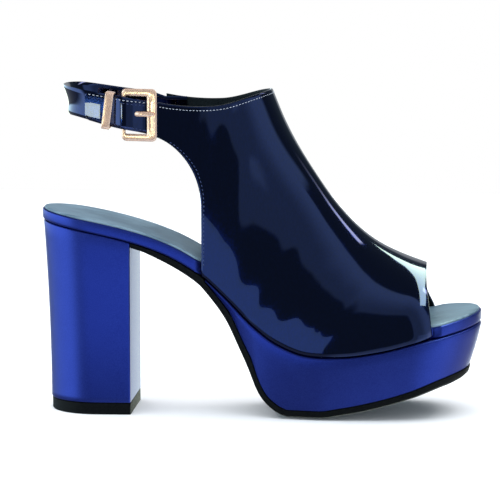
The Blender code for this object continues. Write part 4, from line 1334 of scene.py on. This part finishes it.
def buildWorld():
    # white to the camera; reflected, a dark room with an umbrella, a pale wall on the left, a strip light
    # and bright ground behind, laid out in degrees from the camera's side, u to the right and v up
    s = studio
    world = bpy.data.worlds.new("studio")
    world.use_nodes = True
    tree = world.node_tree
    room = Finish("studio", tree)
    direction = room.node("ShaderNodeTexCoord", out=0)
    x, y, z = (room.node("ShaderNodeSeparateXYZ", None, {0: direction}, axis) for axis in range(3))
    across = room.maths("SQRT", x * x + z * z) + 0.00001
    angle = room.maths("ARCCOSINE", y * -1.0) * degrees(1)
    roll = room.maths("ARCTAN2", z, x) * degrees(1)
    u, v = angle * x / across, angle * z / across

    def below(value, low, high):
        return room.between(value, low, high, 1.0, 0.0)

    def inside(value, low, high, soft):
        return room.between(value, low - soft, low + soft) * below(value, high - soft, high + soft)

    fromLeft, fromTop = (u - s["umbrellaPlace"][0]) / s["umbrellaSquash"], v - s["umbrellaPlace"][1]
    reach = room.maths("SQRT", fromLeft * fromLeft + fromTop * fromTop)
    level = room.between(angle, 44.0, 70.0) * s["umbrellaEdge"] + s["umbrella"]
    cut = room.between(v - u * s["umbrellaSlant"], 0.0, 6.0) * room.between(angle, 73.0, 75.5)
    umbrella = room.between(reach, *s["umbrellaInner"]) * level * (1.0 - cut)
    umbrella = umbrella * below(angle, *s["umbrellaOuter"]) * room.between(u, -13.0, -8.0)
    low = inside(u, 33.0, 88.0, 3.0) * below(v, 3.0, 8.0) * s["lowPanel"]
    wall = room.between(u * -1.0, 36.0, 56.0) * inside(v, -20.0, 38.0, 7.0)
    back = room.between(angle, 149.0, 156.0) * s["backWall"]
    strip = inside(angle + (roll - 28.0) * s["stripSlant"], *s["stripPlace"]) * s["rightStrip"]
    strip = strip * room.between(roll, 24.0, 46.0) * below(roll, 53.0, 56.0)
    ground = below(v, -34.0, -16.0) * s["ground"]
    behind = room.between(angle, 150.0, 158.0) * below(z, -0.10, -0.02)
    right = inside(u, 70.0, 128.0, 5.0) * below(v, 5.0, 15.0) * s["rightSide"]
    soft, plain = umbrella + low + s["room"], back + strip + ground + right
    tones = zip(s["tint"], s["leftWall"], s["backGround"])
    parts = [plain + soft * tone + wall * side + behind * rear for tone, side, rear in tones]
    light = room.node("ShaderNodeCombineXYZ", None, dict(enumerate(parts)))
    seen = room.node("ShaderNodeLightPath")
    colour = room.mix(seen, light, (1.0, 1.0, 1.0))
    tree.links.new(colour.socket, tree.nodes["Background"].inputs["Color"])
    bpy.context.scene.world = world


# Name, place, aim, size, watts, colour and turn; the soft lights light the shoe and don't show in its gloss
softLights = [
    ("topSoftbox", (0.0, 0.1, 1.6), (0.0, 0.1, 0.0), (3.0, 3.0), 90.0),
    ("frontFill", (-0.1, -1.3, 0.5), (0.0, 0.0, 0.1), (1.2, 0.8), 9.0),
]
# These show in the gloss alone, and are close, so that each one falls on its own part of the shoe
glossLights = [
    ("toeWindow", (0.1136, -0.0112, 0.115), (0.1136, -0.0112, 0.0), (0.0284, 0.0990), 0.066,
     (0.80, 1.0, 0.66), 30.0),
    ("lowCard", (-0.085, -0.160, 0.045), (-0.085, 0.0, 0.045), (0.17, 0.075), 0.036, (0.36, 0.60, 1.0)),
    ("strapGlint", (-0.137, -0.160, 0.1428), (-0.137, 0.0, 0.1428), (0.038, 0.0078), 0.0100,
     (0.90, 1.0, 0.66)),
]


def areaLight(gloss, name, location, aim, size, energy, colour=(1, 1, 1), turn=0.0):
    data = bpy.data.lights.new(name, "AREA")
    data.shape = "RECTANGLE"
    data.size, data.size_y = size
    data.energy = energy
    data.color = colour
    light = bpy.data.objects.new(name, data)
    light.location = location
    angles = (Vector(location) - Vector(aim)).to_track_quat("Z", "Y").to_euler()
    angles.rotate_axis("Z", radians(turn))
    light.rotation_euler = angles
    light.visible_camera = False
    light.visible_glossy = gloss
    light.visible_diffuse = not gloss
    bpy.context.scene.collection.objects.link(light)


buildCamera()
buildFloor()
buildWorld()
for values in softLights:
    areaLight(False, *values)
for values in glossLights:
    areaLight(True, *values)
bpy.context.scene.view_settings.view_transform = "Standard"
print("studio made")
